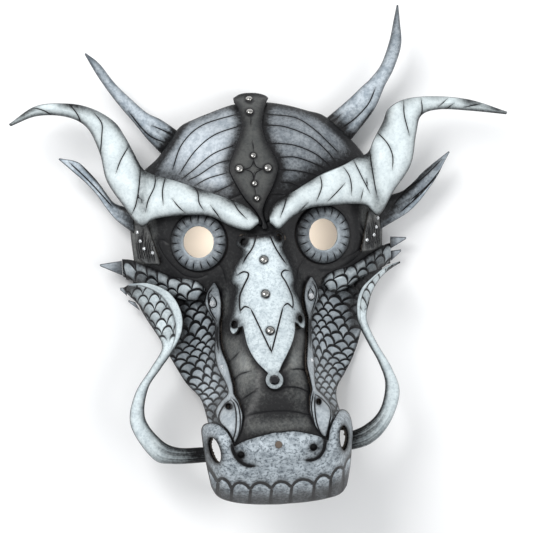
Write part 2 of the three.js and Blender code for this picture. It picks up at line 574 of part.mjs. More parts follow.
add('forehead_dome', forehead(), silver);
add('crest_strap', crest(), dark);
add('face_panel', facePanel(), dark);
add('nose_plate', nosePlate(), white);
add('snout_plate', snoutPlate(), silver);

for (const [name, side] of SIDES) {
  add(`eye_ring_${name}`, eyeRing(side), silver);
  add(`side_strap_${name}`, sideStrap(name, side), silver);
  add(`cheek_${name}`, cheek(name, side), scaled);
  add(`cheekbone_${name}`, cheekbone(name, side), scaled);
  add(`temple_${name}`, temple(side), dark);
  add(`brow_horn_${name}`, browHorn(name, side), white);
  add(`horn_${name}`, horn(name, side), silver);
  add(`ear_${name}`, mainBody(limb(EAR[name], side, 8, 3).subtract(under(GAP))), silver);
  const snout = prism(grown(SNOUT_OUTLINE, GAP)).subtract(under(-GAP));
  add(`whisker_${name}`, mainBody(limb(WHISKER[name], side, 22, 3).subtract(snout)), white);
  SPIKES[name].forEach((corners, i) => add(`cheek_spike_${name}_${i + 1}`, spike(corners, side), silver));
}

// Studs and gems
const CREST_STUDS = [[-0.4, 88.4, 2.2], [-1.2, 79.8, 2.2], [-1.9, 51.8, 1.7], [-11.2, 44, 2.4],
  [6.4, 43.4, 2.4], [-2.6, 34.4, 1.7], [-1.8, 25, 1.7]];
CREST_STUDS.forEach(([x, y, r], i) => {
  add(`crest_stud_${i + 1}`, head(x, y, r, r * 0.8, LEATHER + GAP, crestSurface), chrome);
});
const NOSE_STUDS = [[-0.4, -13], [-1.6, -34], [-1, -56.3]];
NOSE_STUDS.forEach(([x, y], i) => add(`nose_stud_${i + 1}`, head(x, y, 2.3, 1.9, LEATHER), chrome));
add('nose_gem', head(NOSE_BOSS.x, NOSE_BOSS.y, 3.2, 2.4, LEATHER), crystal);
add('snout_gem', head(-1.5, -124.5, 2.4, 2, LEATHER), crystal);

const LEAF_GEMS = { left: [-32.4, -38.3], right: [28.5, -37.2] };
const STRAP_GEMS = { left: [-29.9, -77.2], right: [23.6, -76] };
const TEMPLE_GEMS = [[75.6, 9], [74.2, 3.4], [72.2, -1.4], [67.2, -4.4]];
for (const [name, side] of SIDES) {
  add(`leaf_gem_${name}`, head(...LEAF_GEMS[name], 2.1, 1.8, LEATHER), crystal);
  add(`strap_gem_${name}`, head(...STRAP_GEMS[name], 1.4, 1.2, LEATHER), crystal);
  TEMPLE_GEMS.forEach(([x, y], i) => {
    add(`temple_gem_${name}_${i + 1}`, head(side * x, y, 1.2, 1, LEATHER - 0.4, face, 5), crystal);
  });
}

// The origin is under the middle of the whole mask
const middle = new THREE.Box3().setFromObject(mask).getCenter(new THREE.Vector3());
mask.position.set(-middle.x, -middle.y, 0);

export default mask;
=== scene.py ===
import math
from functools import lru_cache

import bmesh
import bpy
from mathutils import Matrix, Vector, noise
from mathutils.kdtree import KDTree


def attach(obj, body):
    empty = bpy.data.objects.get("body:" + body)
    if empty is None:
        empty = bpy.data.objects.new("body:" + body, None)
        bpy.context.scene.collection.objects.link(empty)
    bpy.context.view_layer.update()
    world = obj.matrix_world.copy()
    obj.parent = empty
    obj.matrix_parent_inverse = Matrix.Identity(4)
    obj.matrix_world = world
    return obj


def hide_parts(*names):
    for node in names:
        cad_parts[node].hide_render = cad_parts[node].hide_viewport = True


# The looks of a moulded leather dragon mask that lies face up. The face's own frame, in millimetres, has the
# eye line at y = 0, the middle of the face at x = 0 and the table at z = 0.

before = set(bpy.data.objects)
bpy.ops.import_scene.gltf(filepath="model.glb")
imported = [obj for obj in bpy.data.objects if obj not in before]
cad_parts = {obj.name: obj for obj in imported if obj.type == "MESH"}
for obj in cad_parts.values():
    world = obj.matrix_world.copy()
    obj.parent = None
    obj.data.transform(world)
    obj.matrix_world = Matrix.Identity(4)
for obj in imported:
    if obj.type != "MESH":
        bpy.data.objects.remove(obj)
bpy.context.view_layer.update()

bl_info = {
    "name": "Leather dragon mask",
    "version": (1, 0, 0),
    "blender": (4, 5, 0),
    "location": "View3D > Sidebar > Dragon mask",
    "description": "Builds the pieces and the finishes of a moulded leather dragon mask",
    "category": "Add Mesh",
}

MM = 0.001
SHIFT = Vector((-4.3, 11.3, 0))      # from the face's own frame to the mask's origin

# Leather
LEATHER = 2.6                        # its thickness
GAP = 0.3                            # air between neighbouring sheets
MAX_LIFT = 2.4                       # how much farther than its thickness a sheet stands up on a steep slope
TUCK = 0.4                           # how much thinner a temple is
ROLL = 1.0                           # radius of a rolled edge
GROOVE_WIDTH = 0.8                   # how far a tooled line is felt beside it on a sheet
LIMB_GROOVE_WIDTH = 1.0              # and on a limb
VALLEY_WIDTH = 4                     # how far a limb sinks beside a tooled line
LIMB_HALF = 0.7                      # half a limb's thickness before it swells
MAX_SHELL = 1.4                      # how much farther than its thickness a sheet reaches in at a bend

# The face's form
SKULL = {"half_width": 84, "middle_y": 15, "to_top": 76, "to_bottom": 114, "height": 54, "squareness": 2.2,
         "roundness": 0.6, "flare": 0.06}
EYE = {"x": 38.5, "y": 0.5, "z": 45, "slope": 0.35, "flat": 20, "blend": 28, "hole": 9.8, "rim": 18.8}
RIDGE = [(-165, 58), (-160, 70), (-150, 91), (-138, 106), (-124, 113), (-105, 112), (-85, 107), (-56, 92),
         (-34, 77), (-13, 58), (0, 50), (12, 36), (25, 20), (45, 0)]
MUZZLE_HALF_WIDTH = [(-165, 46), (-125, 48), (-112, 45), (-100, 39), (-85, 35), (-60, 30), (-40, 26),
                     (-20, 21), (0, 17), (15, 15), (45, 15)]
MUZZLE_BOXINESS = [(-165, 8), (-125, 8), (-112, 6.5), (-100, 5), (-60, 3.5), (45, 3.5)]
MUZZLE_SINK = 4
NOSTRIL = {"x": 42, "y": -117, "height": 18, "across": 9, "along": 11}

SIDES = (("left", -1), ("right", 1))


def bent(t, start, end, leaving, arriving):
    """A curve from start to end with the slopes at which it leaves and arrives, at t from 0 to 1."""
    s = 1 - t
    return (s * s * (1 + 2 * t) * start + t * s * s * leaving
            + t * t * (3 - 2 * t) * end - t * t * s * arriving)


def profile(pairs):
    """A smooth curve through (at, value) pairs that never overshoots them."""
    p = sorted(pairs)
    rise = [(b[1] - a[1]) / (b[0] - a[0]) for a, b in zip(p, p[1:])]
    slope = [rise[0]]
    for before, after in zip(rise, rise[1:]):
        product = before * after
        slope.append(0 if product <= 0 else 2 * product / (before + after))
    slope.append(rise[-1])

    @lru_cache(maxsize=None)
    def value(at):
        if at <= p[0][0]:
            return p[0][1]
        if at >= p[-1][0]:
            return p[-1][1]
        i = next(k for k in range(len(p)) if p[k][0] > at) - 1
        (x0, y0), (x1, y1) = p[i:i + 2]
        run = x1 - x0
        return bent((at - x0) / run, y0, y1, run * slope[i], run * slope[i + 1])
    return value


ridge = profile(RIDGE)
muzzle_half_width = profile(MUZZLE_HALF_WIDTH)
muzzle_boxiness = profile(MUZZLE_BOXINESS)


def flowing(values):
    """A smooth curve through the values at 0, 1, 2 and so on."""
    last = len(values) - 1
    steps = [(max(i - 1, 0), min(i + 1, last)) for i in range(last + 1)]
    slope = [(values[b] - values[a]) / (b - a) for a, b in steps]

    @lru_cache(maxsize=None)
    def value(at):
        i = min(int(at), last - 1)
        return bent(at - i, *values[i:i + 2], *slope[i:i + 2])
    return value


def smoothstep(at, low, high):
    """0 below a low mark, 1 above a high one and an eased rise between them."""
    t = min(1, max(0, (at - low) / (high - low)))
    return t * t * (3 - 2 * t)


def mix(a, b, t):
    return a + (b - a) * t


def fading(near, reach):
    """1 on a line, falling to 0 beside it."""
    return math.exp(-(near / reach) ** 2)


def patch(x, y, across, along):
    """1 at a place, falling to 0 round it."""
    return math.exp(-(x / across) ** 2 - (y / along) ** 2)


def face(x, y):
    """Height of the moulded face over the table."""
    ax = abs(x)
    along = (y - SKULL["middle_y"]) / (SKULL["to_top"] if y > SKULL["middle_y"] else SKULL["to_bottom"])
    inwards = (1 - (ax / SKULL["half_width"]) ** SKULL["squareness"] - abs(along) ** SKULL["squareness"]) / 2
    skull = SKULL["height"] * (inwards + math.hypot(inwards, SKULL["flare"])) ** SKULL["roundness"]
    flare = ridge(y) / (1 + (ax / muzzle_half_width(y)) ** muzzle_boxiness(y))
    muzzle = max(0, flare - MUZZLE_SINK)
    nostril = NOSTRIL["height"] * patch(ax - NOSTRIL["x"], y - NOSTRIL["y"],
                                        NOSTRIL["across"], NOSTRIL["along"])
    head = (skull ** 4 + muzzle ** 4) ** 0.25 + nostril
    away = smoothstep(math.hypot(ax - EYE["x"], y - EYE["y"]), EYE["flat"], EYE["blend"])
    return mix(EYE["z"] - EYE["slope"] * (ax - EYE["x"]), head, away)


def slopes(surface, x, y):
    """How steep a surface is along x and along y."""
    step = 1.5
    return ((surface(x + step, y) - surface(x - step, y)) / (2 * step),
            (surface(x, y + step) - surface(x, y - step)) / (2 * step))


def raised(surface, x, y, sheets):
    """Height of a sheet's face that lies so many millimetres off a surface, square to it."""
    dx, dy = slopes(surface, x, y)
    return surface(x, y) + sheets * min(MAX_LIFT, math.hypot(1, dx, dy))


# Where the crest leaves the skull, and how it falls from there
TONGUE = {"y": 80, "z": 20.5, "slope": 0.9}


def crest_surface(x, y):
    """The face with the crest's tongue running on over the rim."""
    tongue = TONGUE["z"] - TONGUE["slope"] * (y - TONGUE["y"]) if y > TONGUE["y"] else 0
    return max(face(x, y), tongue)


# Curves and outlines

def curve(points, steps=8):
    """A smooth curve through points."""
    if len(points) < 3:
        return [Vector((*p, 0)) for p in points]
    made = []
    last = len(points) - 1
    for i in range(last):
        before, start, end, after = (Vector(points[k]) for k in (max(0, i - 1), i, i + 1, min(last, i + 2)))
        made += [bent(k / steps, start, end, (end - before) / 2, (after - start) / 2) for k in range(steps)]
    made.append(Vector(points[-1]))
    return [Vector((p.x, p.y, 0)) for p in made]


def lines_of(runs):
    return [curve(points) for points in runs]


def spaced(points, least=0.05):
    """A closed outline without the points that all but coincide with the next one."""
    return [p for p, q in zip(points, points[1:] + points[:1]) if (p - q).length > least]


def outline(runs):
    """A closed outline of smooth runs that meet at corners."""
    return spaced([p for run in runs for p in curve(run)])


def mirrored(runs, side):
    """Runs of a right half, on the side asked for."""
    return [[(side * x, y) for x, y in run] for run in runs]


def halves(right, left):
    """A closed outline's runs from two halves, both given as right ones, from the top to the bottom."""
    return right + [run[::-1] for run in mirrored(left, -1)[::-1]]


def ring(x, y, across, along=None, turn=0.0, count=20):
    """A closed ellipse."""
    along = across if along is None else along
    points = []
    for k in range(count):
        a = 2 * math.pi * k / count
        u, v = across * math.cos(a), along * math.sin(a)
        points.append(Vector((x + u * math.cos(turn) - v * math.sin(turn),
                              y + u * math.sin(turn) + v * math.cos(turn), 0)))
    return points


class Lines:
    """Lines on the leather: how far a place is from the nearest of them, and on which side."""

    def __init__(self, curves, closed=False, step=0.25, taper=0.0):
        self.samples = []
        for points in curves:
            ends = points[1:] + points[:1] if closed else points[1:]
            length = sum((b - a).length for a, b in zip(points, ends))
            run = 0
            for a, b in zip(points, ends):
                along = b - a
                count = max(1, math.ceil(along.length / step))
                if along.length > 1e-6:
                    for k in range(count + 1):
                        at = run + along.length * k / count
                        bold = smoothstep(min(at, length - at), -0.4 * taper, taper) if taper else 1
                        self.samples.append((a + along * (k / count), along.normalized(), bold))
                run += along.length
        self.tree = KDTree(len(self.samples))
        for i, sample in enumerate(self.samples):
            self.tree.insert(sample[0], i)
        self.tree.balance()

    def at(self, x, y):
        """The distance to the right of the line, larger where the line is thin, and the plain distance."""
        if not self.samples:
            return 99.0, 99.0
        _, i, near = self.tree.find((x, y, 0))
        place, along, bold = self.samples[i]
        return ((x - place.x) * along.y - (y - place.y) * along.x) / max(0.1, bold), near

    def near(self, x, y):
        """The plain distance."""
        return self.at(x, y)[1]

    def on(self, x, y):
        """True on a line."""
        return self.near(x, y) < 0.3


# Scales, in rows: u counts scales along a row and v counts rows upwards

SCALE_REACH = 1.45                   # a scale's length, in rows
SCALE_WIDTH = 1.08                   # its width, in columns
SCALE_STEP = 1.2                     # how far it stands up at its round end, in mm


def scale_relief(u, v):
    """Height of the scale that shows at a place: it rises to its round end, which is rolled off."""
    row = math.floor(v)
    for k in (row - 1, row, row + 1):
        across = abs((u + 0.5 * (k % 2)) % 1 - 0.5) * 2 / SCALE_WIDTH
        along = (v - k) / SCALE_REACH
        out = math.hypot(across, max(0, along))
        if out < 1:
            break
    return SCALE_STEP * (along - 1 - 0.2 * smoothstep(out, 0.8, 1))


# Meshes

ATTRIBUTES = ("tool", "near", "edge", "shade", "inside", "scaly", "scale_u", "scale_v")


def new_bmesh():
    bm = bmesh.new()
    layers = {name: bm.verts.layers.float.new(name) for name in ATTRIBUTES}
    return bm, layers


def note(v, layers, **values):
    """Writes values at a vertex."""
    for key, value in values.items():
        v[layers[key]] = value


def dice(bm, low, high, pitch, axis):
    """Cuts a flat mesh into strips square to an axis."""
    normal = Vector((1, 0, 0)) if axis == 0 else Vector((0, 1, 0))
    for k in range(1, math.ceil((high - low) / pitch)):
        bmesh.ops.bisect_plane(bm, geom=bm.verts[:] + bm.edges[:] + bm.faces[:], dist=0.02,
                               plane_co=normal * (low + k * pitch), plane_no=normal)


def cut_sheet(loops, pitch_x, pitch_y):
    """A flat sheet inside an outline and outside its holes, diced finely enough to be moulded."""
    bm, layers = new_bmesh()
    for loop in loops:
        verts = [bm.verts.new(p) for p in loop]
        for a, b in zip(verts, verts[1:] + verts[:1]):
            bm.edges.new((a, b))
    bmesh.ops.triangle_fill(bm, use_beauty=True, use_dissolve=False, edges=bm.edges[:])
    xs = [p.x for p in loops[0]]
    ys = [p.y for p in loops[0]]
    dice(bm, min(xs), max(xs), pitch_x, 0)
    dice(bm, min(ys), max(ys), pitch_y, 1)
    return bm, layers


def sheet(loops, low, high, surface=face, lines=(), pitch=(0.9, 0.9), groove=0.5, shade=None, relief=None,
          scales=None, rim=None, plain_edge=None, taper=3.0):
    """A moulded sheet of leather between two heights over a surface, with its tooled lines pressed in."""
    bm, layers = cut_sheet(loops, *pitch)
    borders = Lines(loops, closed=True)
    tooling = Lines(lines, taper=taper)
    for v in bm.verts:
        x, y = v.co.x, v.co.y
        edge = borders.near(x, y)
        tool, near = tooling.at(x, y)
        z = raised(surface, x, y, high)
        z -= groove * fading(near, GROOVE_WIDTH)
        if edge < ROLL:
            z -= ROLL * (1 - math.sqrt(1 - (1 - edge / ROLL) ** 2))
        if scales:
            u, w = scales(x, y)
            note(v, layers, scale_u=u, scale_v=w, scaly=1)
            z += scale_relief(u, w)
        if relief:
            z += relief(x, y)
        dark = beside_line(near) + (shade(x, y, edge) if shade else 0)
        note(v, layers, tool=tool, near=near, shade=min(1, max(0, dark)),
             edge=edge + (plain_edge(x, y) if plain_edge else 0))
        v.co.z = z
    if rim:
        turn_down(bm, rim)
    bmesh.ops.recalc_face_normals(bm, faces=bm.faces[:])
    if sum(f.normal.z for f in bm.faces) < 0:
        bmesh.ops.reverse_faces(bm, faces=bm.faces[:])
    thicken(bm, high - low, layers["inside"])
    return bm


def beside_line(near):
    """The shade beside a pressed line: partly the leather's own antiquing and partly painted shade of the
    groove.
    """
    return 0.14 * fading(near, 0.9) + 0.05 * fading(near, 2.5)


def outwards(v):
    """A vertex's normal, without the slivers at a rolled edge that lean the wrong way."""
    faces = dict.fromkeys(f for e in v.link_edges for end in e.verts for f in end.link_faces)
    round_about = sum((f.normal * f.calc_area() for f in faces), Vector()).normalized()
    return v.normal if v.normal.dot(round_about) > 0.6 else round_about


def thicken(bm, thickness, inside):
    """Gives a sheet its thickness, square to its face and inwards."""
    way = {v: outwards(v) * min(MAX_SHELL, v.calc_shell_factor()) for v in bm.verts}
    outer = bm.verts[:]
    made = bmesh.ops.extrude_face_region(bm, geom=bm.faces[:], use_keep_orig=True)["geom"]
    outer_of = KDTree(len(outer))
    for i, v in enumerate(outer):
        outer_of.insert(v.co, i)
    outer_of.balance()
    for g in made:
        if isinstance(g, bmesh.types.BMVert):
            _, i, _ = outer_of.find(g.co)
            g.co -= way[outer[i]] * thickness
            g[inside] = 1
    bmesh.ops.recalc_face_normals(bm, faces=bm.faces[:])


def turn_down(bm, rim):
    """Turns the border down to the table wherever rim says that it is the mask's own edge."""
    edges = [e for e in bm.edges if e.is_boundary and all(rim(v.co.x, v.co.y) for v in e.verts)]
    height = {v: v.co.z for e in edges for v in e.verts}
    steps = 4
    for k in range(1, steps + 1):
        made = bmesh.ops.extrude_edge_only(bm, edges=edges)["geom"]
        edges = [g for g in made if isinstance(g, bmesh.types.BMEdge)
                 and all(v not in height for v in g.verts)]
        fresh = {}
        for v in {v for e in edges for v in e.verts}:
            below = next(o for e in v.link_edges for o in e.verts if o in height)
            fresh[v] = height[below]
            v.co.z = height[below] * (1 - k / steps)
        height = fresh


def limb(stations, side, rings, around, start=(0.0, 0.0), lines=(), groove=0.6, valley=0.0, shade=None,
         ground=None, scales=None, scaly=None, roughen=0.0):
    """A limb between two edges. A station is edge A x, y, z, edge B x, y, z, swell above, swell below."""
    columns = [flowing([s[k] for s in stations]) for k in range(6)]
    columns += [profile([(i, s[k]) for i, s in enumerate(stations)]) for k in (6, 7)]
    tooling = Lines(lines, taper=4.0)
    bm, layers = new_bmesh()
    bmesh.ops.create_grid(bm, x_segments=around, y_segments=rings, size=1)
    for v in bm.verts:
        turn = (v.co.x + 1) * math.pi
        t = (1 - math.cos(turn)) / 2
        s = round(mix(mix(*start, t), len(stations) - 1, (v.co.y + 1) / 2), 6)
        ax, ay, az, bx, by, bz, above, below = [column(s) for column in columns]
        up = math.sin(turn)
        x, y, z = side * mix(ax, bx, t), mix(ay, by, t), mix(az, bz, t)
        width = math.hypot(bx - ax, by - ay, bz - az)
        bulge = abs(up)
        tool, near = tooling.at(x, y)
        edge = min(t, 1 - t) * width
        if up >= 0:
            z += LIMB_HALF * bulge ** 0.5 + above * bulge
            z -= groove * fading(near, LIMB_GROOVE_WIDTH) + valley * fading(near, VALLEY_WIDTH) * bulge
            z += roughen * noise.noise((x / 9, y / 9, 3.1)) * bulge
        else:
            z -= LIMB_HALF * bulge ** 0.5 + below * bulge
        if ground:
            z = max(z, ground(x, y))
        if scales:
            u, w = scales(x, y)
            amount = scaly(t, s, up) if scaly else 1
            note(v, layers, scale_u=u, scale_v=w, scaly=amount)
            if up > 0:
                z += scale_relief(u, w) * amount * min(1, 2 * bulge)
        # painted shade on the limb's underside is added to its shade
        dark = beside_line(near) + (shade(x, y, t, s, edge) if shade else 0) + (0 if up >= -0.2 else 0.3)
        note(v, layers, tool=tool, near=near, edge=edge, shade=min(1, max(0, dark)))
        v.co = (x, y, z)
    bmesh.ops.remove_doubles(bm, verts=bm.verts[:], dist=0.002)
    bmesh.ops.holes_fill(bm, edges=[e for e in bm.edges if e.is_boundary], sides=0)
    bmesh.ops.recalc_face_normals(bm, faces=bm.faces[:])
    return bm


def lathe(section, steps):
    """A body turned round the z axis from (radius, height) points."""
    bm, _ = new_bmesh()
    verts = [bm.verts.new((r, 0, z)) for r, z in section]
    edges = [bm.edges.new(pair) for pair in zip(verts, verts[1:])]
    bmesh.ops.spin(bm, geom=verts + edges, cent=(0, 0, 0), axis=(0, 0, 1), angle=2 * math.pi, steps=steps,
                   use_merge=True)
    bmesh.ops.remove_doubles(bm, verts=bm.verts[:], dist=0.001)
    bmesh.ops.recalc_face_normals(bm, faces=bm.faces[:])
    return bm


def seat(bm, x, y, high, surface=face):
    """Stands a turned body square on a sheet's face."""
    dx, dy = slopes(surface, x, y)
    turn = Vector((0, 0, 1)).rotation_difference(Vector((-dx, -dy, 1)))
    place = Matrix.Translation((x, y, raised(surface, x, y, high))) @ turn.to_matrix().to_4x4()
    bmesh.ops.transform(bm, matrix=place, verts=bm.verts[:])
    return bm


def over_face(x, y):
    """The lowest that a piece lying on the face may reach."""
    return raised(face, x, y, GAP)


SHARP_ANGLE = math.radians(50)       # leather bent more than this shows an edge


def finish_piece(bm, name, material, smooth=True):
    """Puts a finished mesh in the mask's frame as a piece that stands for its node."""
    bmesh.ops.transform(bm, matrix=Matrix.Scale(MM, 4) @ Matrix.Translation(SHIFT), verts=bm.verts[:])
    for f in bm.faces:
        f.smooth = smooth
    mesh = bpy.data.meshes.new(name)
    bm.to_mesh(mesh)
    bm.free()
    if smooth:
        mesh.set_sharp_from_angle(angle=SHARP_ANGLE)
    mesh.materials.append(material)
    piece = bpy.data.objects.new(f"{name}_leather" if smooth else f"{name}_cut", mesh)
    bpy.context.scene.collection.objects.link(piece)
    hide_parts(name)
    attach(piece, "root")


# Finishes

class Wires:
    """A shader tree being wired up."""

    def __init__(self, tree):
        self.tree = tree

    def feed(self, socket, value):
        if isinstance(value, bpy.types.NodeSocket):
            self.tree.links.new(value, socket)
        else:
            socket.default_value = value

    def node(self, kind, inputs=None, **settings):
        made = self.tree.nodes.new(kind)
        for key, value in settings.items():
            setattr(made, key, value)
        for key, value in (inputs or {}).items():
            self.feed(made.inputs[key], value)
        return made

    def group(self, tree, inputs):
        return self.node("ShaderNodeGroup", inputs, node_tree=tree).outputs

    def surface(self, inputs):
        """Feeds the material's own shader."""
        shader = self.tree.nodes["Principled BSDF"]
        for key, value in inputs.items():
            self.feed(shader.inputs[key], value)

    def calc(self, operation, a, b=0.0, clamp=False):
        return self.node("ShaderNodeMath", {0: a, 1: b}, operation=operation, use_clamp=clamp).outputs[0]

    def ease(self, value, low, high, start=0.0, end=1.0):
        inputs = {"Value": value, "From Min": low, "From Max": high, "To Min": start, "To Max": end}
        return self.node("ShaderNodeMapRange", inputs, interpolation_type="SMOOTHSTEP").outputs[0]

    def blend(self, factor, a, b):
        return self.node("ShaderNodeMix", {0: factor, 6: a, 7: b}, data_type="RGBA").outputs[2]

    def noise(self, scale, detail=2.0, roughness=0.5):
        place = self.node("ShaderNodeTexCoord").outputs["Object"]
        inputs = {"Vector": place, "Scale": scale, "Detail": detail, "Roughness": roughness}
        return self.node("ShaderNodeTexNoise", inputs).outputs[0]

    def attribute(self, name):
        return self.node("ShaderNodeAttribute", attribute_name=name).outputs["Fac"]


def shader_group(name, inputs, outputs, wire):
    """A shader group with named sockets, built once."""
    if name in bpy.data.node_groups:
        return bpy.data.node_groups[name]
    made = bpy.data.node_groups.new(name, "ShaderNodeTree")
    for label, kind, default in inputs:
        made.interface.new_socket(name=label, in_out="INPUT", socket_type=kind).default_value = default
    for label, kind in outputs:
        made.interface.new_socket(name=label, in_out="OUTPUT", socket_type=kind)
    wires = Wires(made)
    start = wires.node("NodeGroupInput")
    wire(wires, start.outputs, wires.node("NodeGroupOutput").inputs)
    return made


FLOAT, COLOUR = "NodeSocketFloat", "NodeSocketColor"


def tooled_line_group():
    """Ink in a pressed line, from the signed and the plain distance to it in millimetres."""
    def wire(w, given, out):
        half = w.calc("MULTIPLY", given["Width"], 0.5)
        side = w.calc("ABSOLUTE", given["Signed"])
        line = w.ease(w.calc("SUBTRACT", side, half), 0.0, 0.25, 1.0, 0.0)
        w.feed(out["Mask"], w.calc("MULTIPLY", line, w.ease(given["Near"], 1.0, 1.5, 1.0, 0.0)))
    return shader_group("Tooled line", [("Signed", FLOAT, 9.0), ("Near", FLOAT, 9.0), ("Width", FLOAT, 0.6)],
                        [("Mask", FLOAT)], wire)


def border_group():
    """Black edge paint and the shade that fades in from it, from the distance to the edge in millimetres."""
    def wire(w, given, out):
        w.feed(out["Ink"], w.ease(w.calc("SUBTRACT", given["Edge"], given["Width"]), -0.1, 0.25, 1.0, 0.0))
        w.feed(out["Shade"], w.ease(given["Edge"], 0.0, given["Fade"], 0.6, 0.0))
    return shader_group("Painted border", [("Edge", FLOAT, 9.0), ("Width", FLOAT, 0.4), ("Fade", FLOAT, 3.0)],
                        [("Ink", FLOAT), ("Shade", FLOAT)], wire)


def scales_group():
    """Overlapping scales with their round ends up, from counts along a row and of rows."""
    def wire(w, given, out):
        row = w.calc("FLOOR", given["V"])
        ink, shadow, tone, before = 0.0, 0.0, 0.5, None
        for back in (1, 0, -1):
            k = w.calc("SUBTRACT", row, float(back))
            odd = w.calc("MULTIPLY", w.calc("FLOORED_MODULO", k, 2.0), 0.5)
            place = w.calc("ADD", given["U"], odd)
            part = w.calc("SUBTRACT", w.calc("FRACT", place), 0.5)
            across = w.calc("MULTIPLY", w.calc("ABSOLUTE", part), 2.0 / SCALE_WIDTH)
            along = w.calc("DIVIDE", w.calc("SUBTRACT", given["V"], k), SCALE_REACH)
            up = w.calc("MAXIMUM", along, 0.0)
            reach = w.calc("SQRT", w.calc("ADD", w.calc("POWER", across, 2.0), w.calc("POWER", up, 2.0)))
            outside = w.calc("SUBTRACT", reach, 1.0)
            shows = 1.0 if before is None else w.calc("GREATER_THAN", before, 0.0)
            thick = w.calc("MULTIPLY", w.ease(along, 0.3, 1.0, 0.18, 1.0), given["Width"])
            off = w.calc("ABSOLUTE", w.calc("SUBTRACT", outside, w.calc("MULTIPLY", thick, 0.4)))
            past = w.calc("SUBTRACT", off, w.calc("MULTIPLY", thick, 0.5))
            line = w.calc("MULTIPLY", w.ease(past, -0.01, 0.06, 1.0, 0.0), shows)
            beyond = w.calc("GREATER_THAN", outside, 0.0)
            dark = w.calc("MULTIPLY", w.ease(outside, 0.0, 0.45, 1.0, 0.0), beyond)
            dark = w.calc("MULTIPLY", dark, shows)
            number = w.node("ShaderNodeCombineXYZ", {0: w.calc("FLOOR", place), 1: k}).outputs[0]
            spread = w.node("ShaderNodeTexNoise", {"Vector": number, "Scale": 3.37, "Detail": 0.0}).outputs[0]
            ink, shadow = w.calc("MAXIMUM", ink, line), w.calc("MAXIMUM", shadow, dark)
            tone = w.calc("ADD", tone, w.calc("MULTIPLY", shows, w.calc("SUBTRACT", spread, tone)))
            before = outside if before is None else w.calc("MINIMUM", before, outside)
        w.feed(out["Ink"], ink)
        w.feed(out["Shade"], shadow)
        w.feed(out["Tone"], tone)
    return shader_group("Leather scales", [("U", FLOAT, 0.0), ("V", FLOAT, 0.0), ("Width", FLOAT, 0.2)],
                        [("Ink", FLOAT), ("Shade", FLOAT), ("Tone", FLOAT)], wire)


def antique_group():
    """Light paint rubbed over black: sponged grey, speckled, darkened by the shade and gone from the ink. The
    shade is partly the leather's own antiquing and partly painted shade and highlight.
    """
    def wire(w, given, out):
        sponged = w.ease(w.noise(170.0, 4.0, 0.62), 0.40, 0.66)
        speckle = w.noise(560.0, 4.0, 0.75)
        grain = w.noise(2600.0, 2.0, 0.6)
        tone = w.blend(w.calc("MULTIPLY", sponged, given["Sponged"]), given["Light"], given["Grey"])
        spots = w.calc("MULTIPLY", w.ease(speckle, 0.46, 0.62), given["Speckle"])
        tone = w.blend(spots, tone, given["Grey"])
        # the shade, partly antiquing and partly painted shade, is broken up by the speckle
        antiquing_and_shade = w.calc("MULTIPLY", given["Shade"], 1.1)
        broken = w.calc("MULTIPLY", w.calc("SUBTRACT", speckle, 0.5), antiquing_and_shade)
        cover = w.calc("SUBTRACT", 1.0, w.calc("ADD", given["Shade"], broken), clamp=True)
        painted = w.blend(w.calc("POWER", cover, 1.8), given["Dark"], tone)
        w.feed(out["Color"], w.blend(given["Ink"], painted, (0.005, 0.005, 0.006, 1)))
        w.feed(out["Roughness"], w.calc("ADD", w.calc("MULTIPLY", speckle, 0.24), 0.32))
        height = w.calc("ADD", w.calc("MULTIPLY", grain, 0.25), w.calc("MULTIPLY", speckle, 0.35))
        w.feed(out["Height"], w.calc("SUBTRACT", height, given["Ink"]))
    return shader_group(
        "Antiqued leather",
        [("Light", COLOUR, (0.5, 0.55, 0.58, 1)), ("Grey", COLOUR, (0.25, 0.28, 0.3, 1)),
         ("Dark", COLOUR, (0.02, 0.02, 0.02, 1)), ("Shade", FLOAT, 0.0), ("Ink", FLOAT, 0.0),
         ("Speckle", FLOAT, 0.3), ("Sponged", FLOAT, 0.5)],
        [("Color", COLOUR), ("Roughness", FLOAT), ("Height", FLOAT)], wire)


def new_material(name):
    material = bpy.data.materials.new(name)
    material.use_nodes = True
    return material, Wires(material.node_tree)


LINING = (0.075, 0.062, 0.052, 1)    # the plain inside
BLACKED = (0.012, 0.012, 0.013, 1)   # the leather under the paint
GREYED = (0.42, 0.46, 0.50)          # what the sponged grey keeps of the light paint


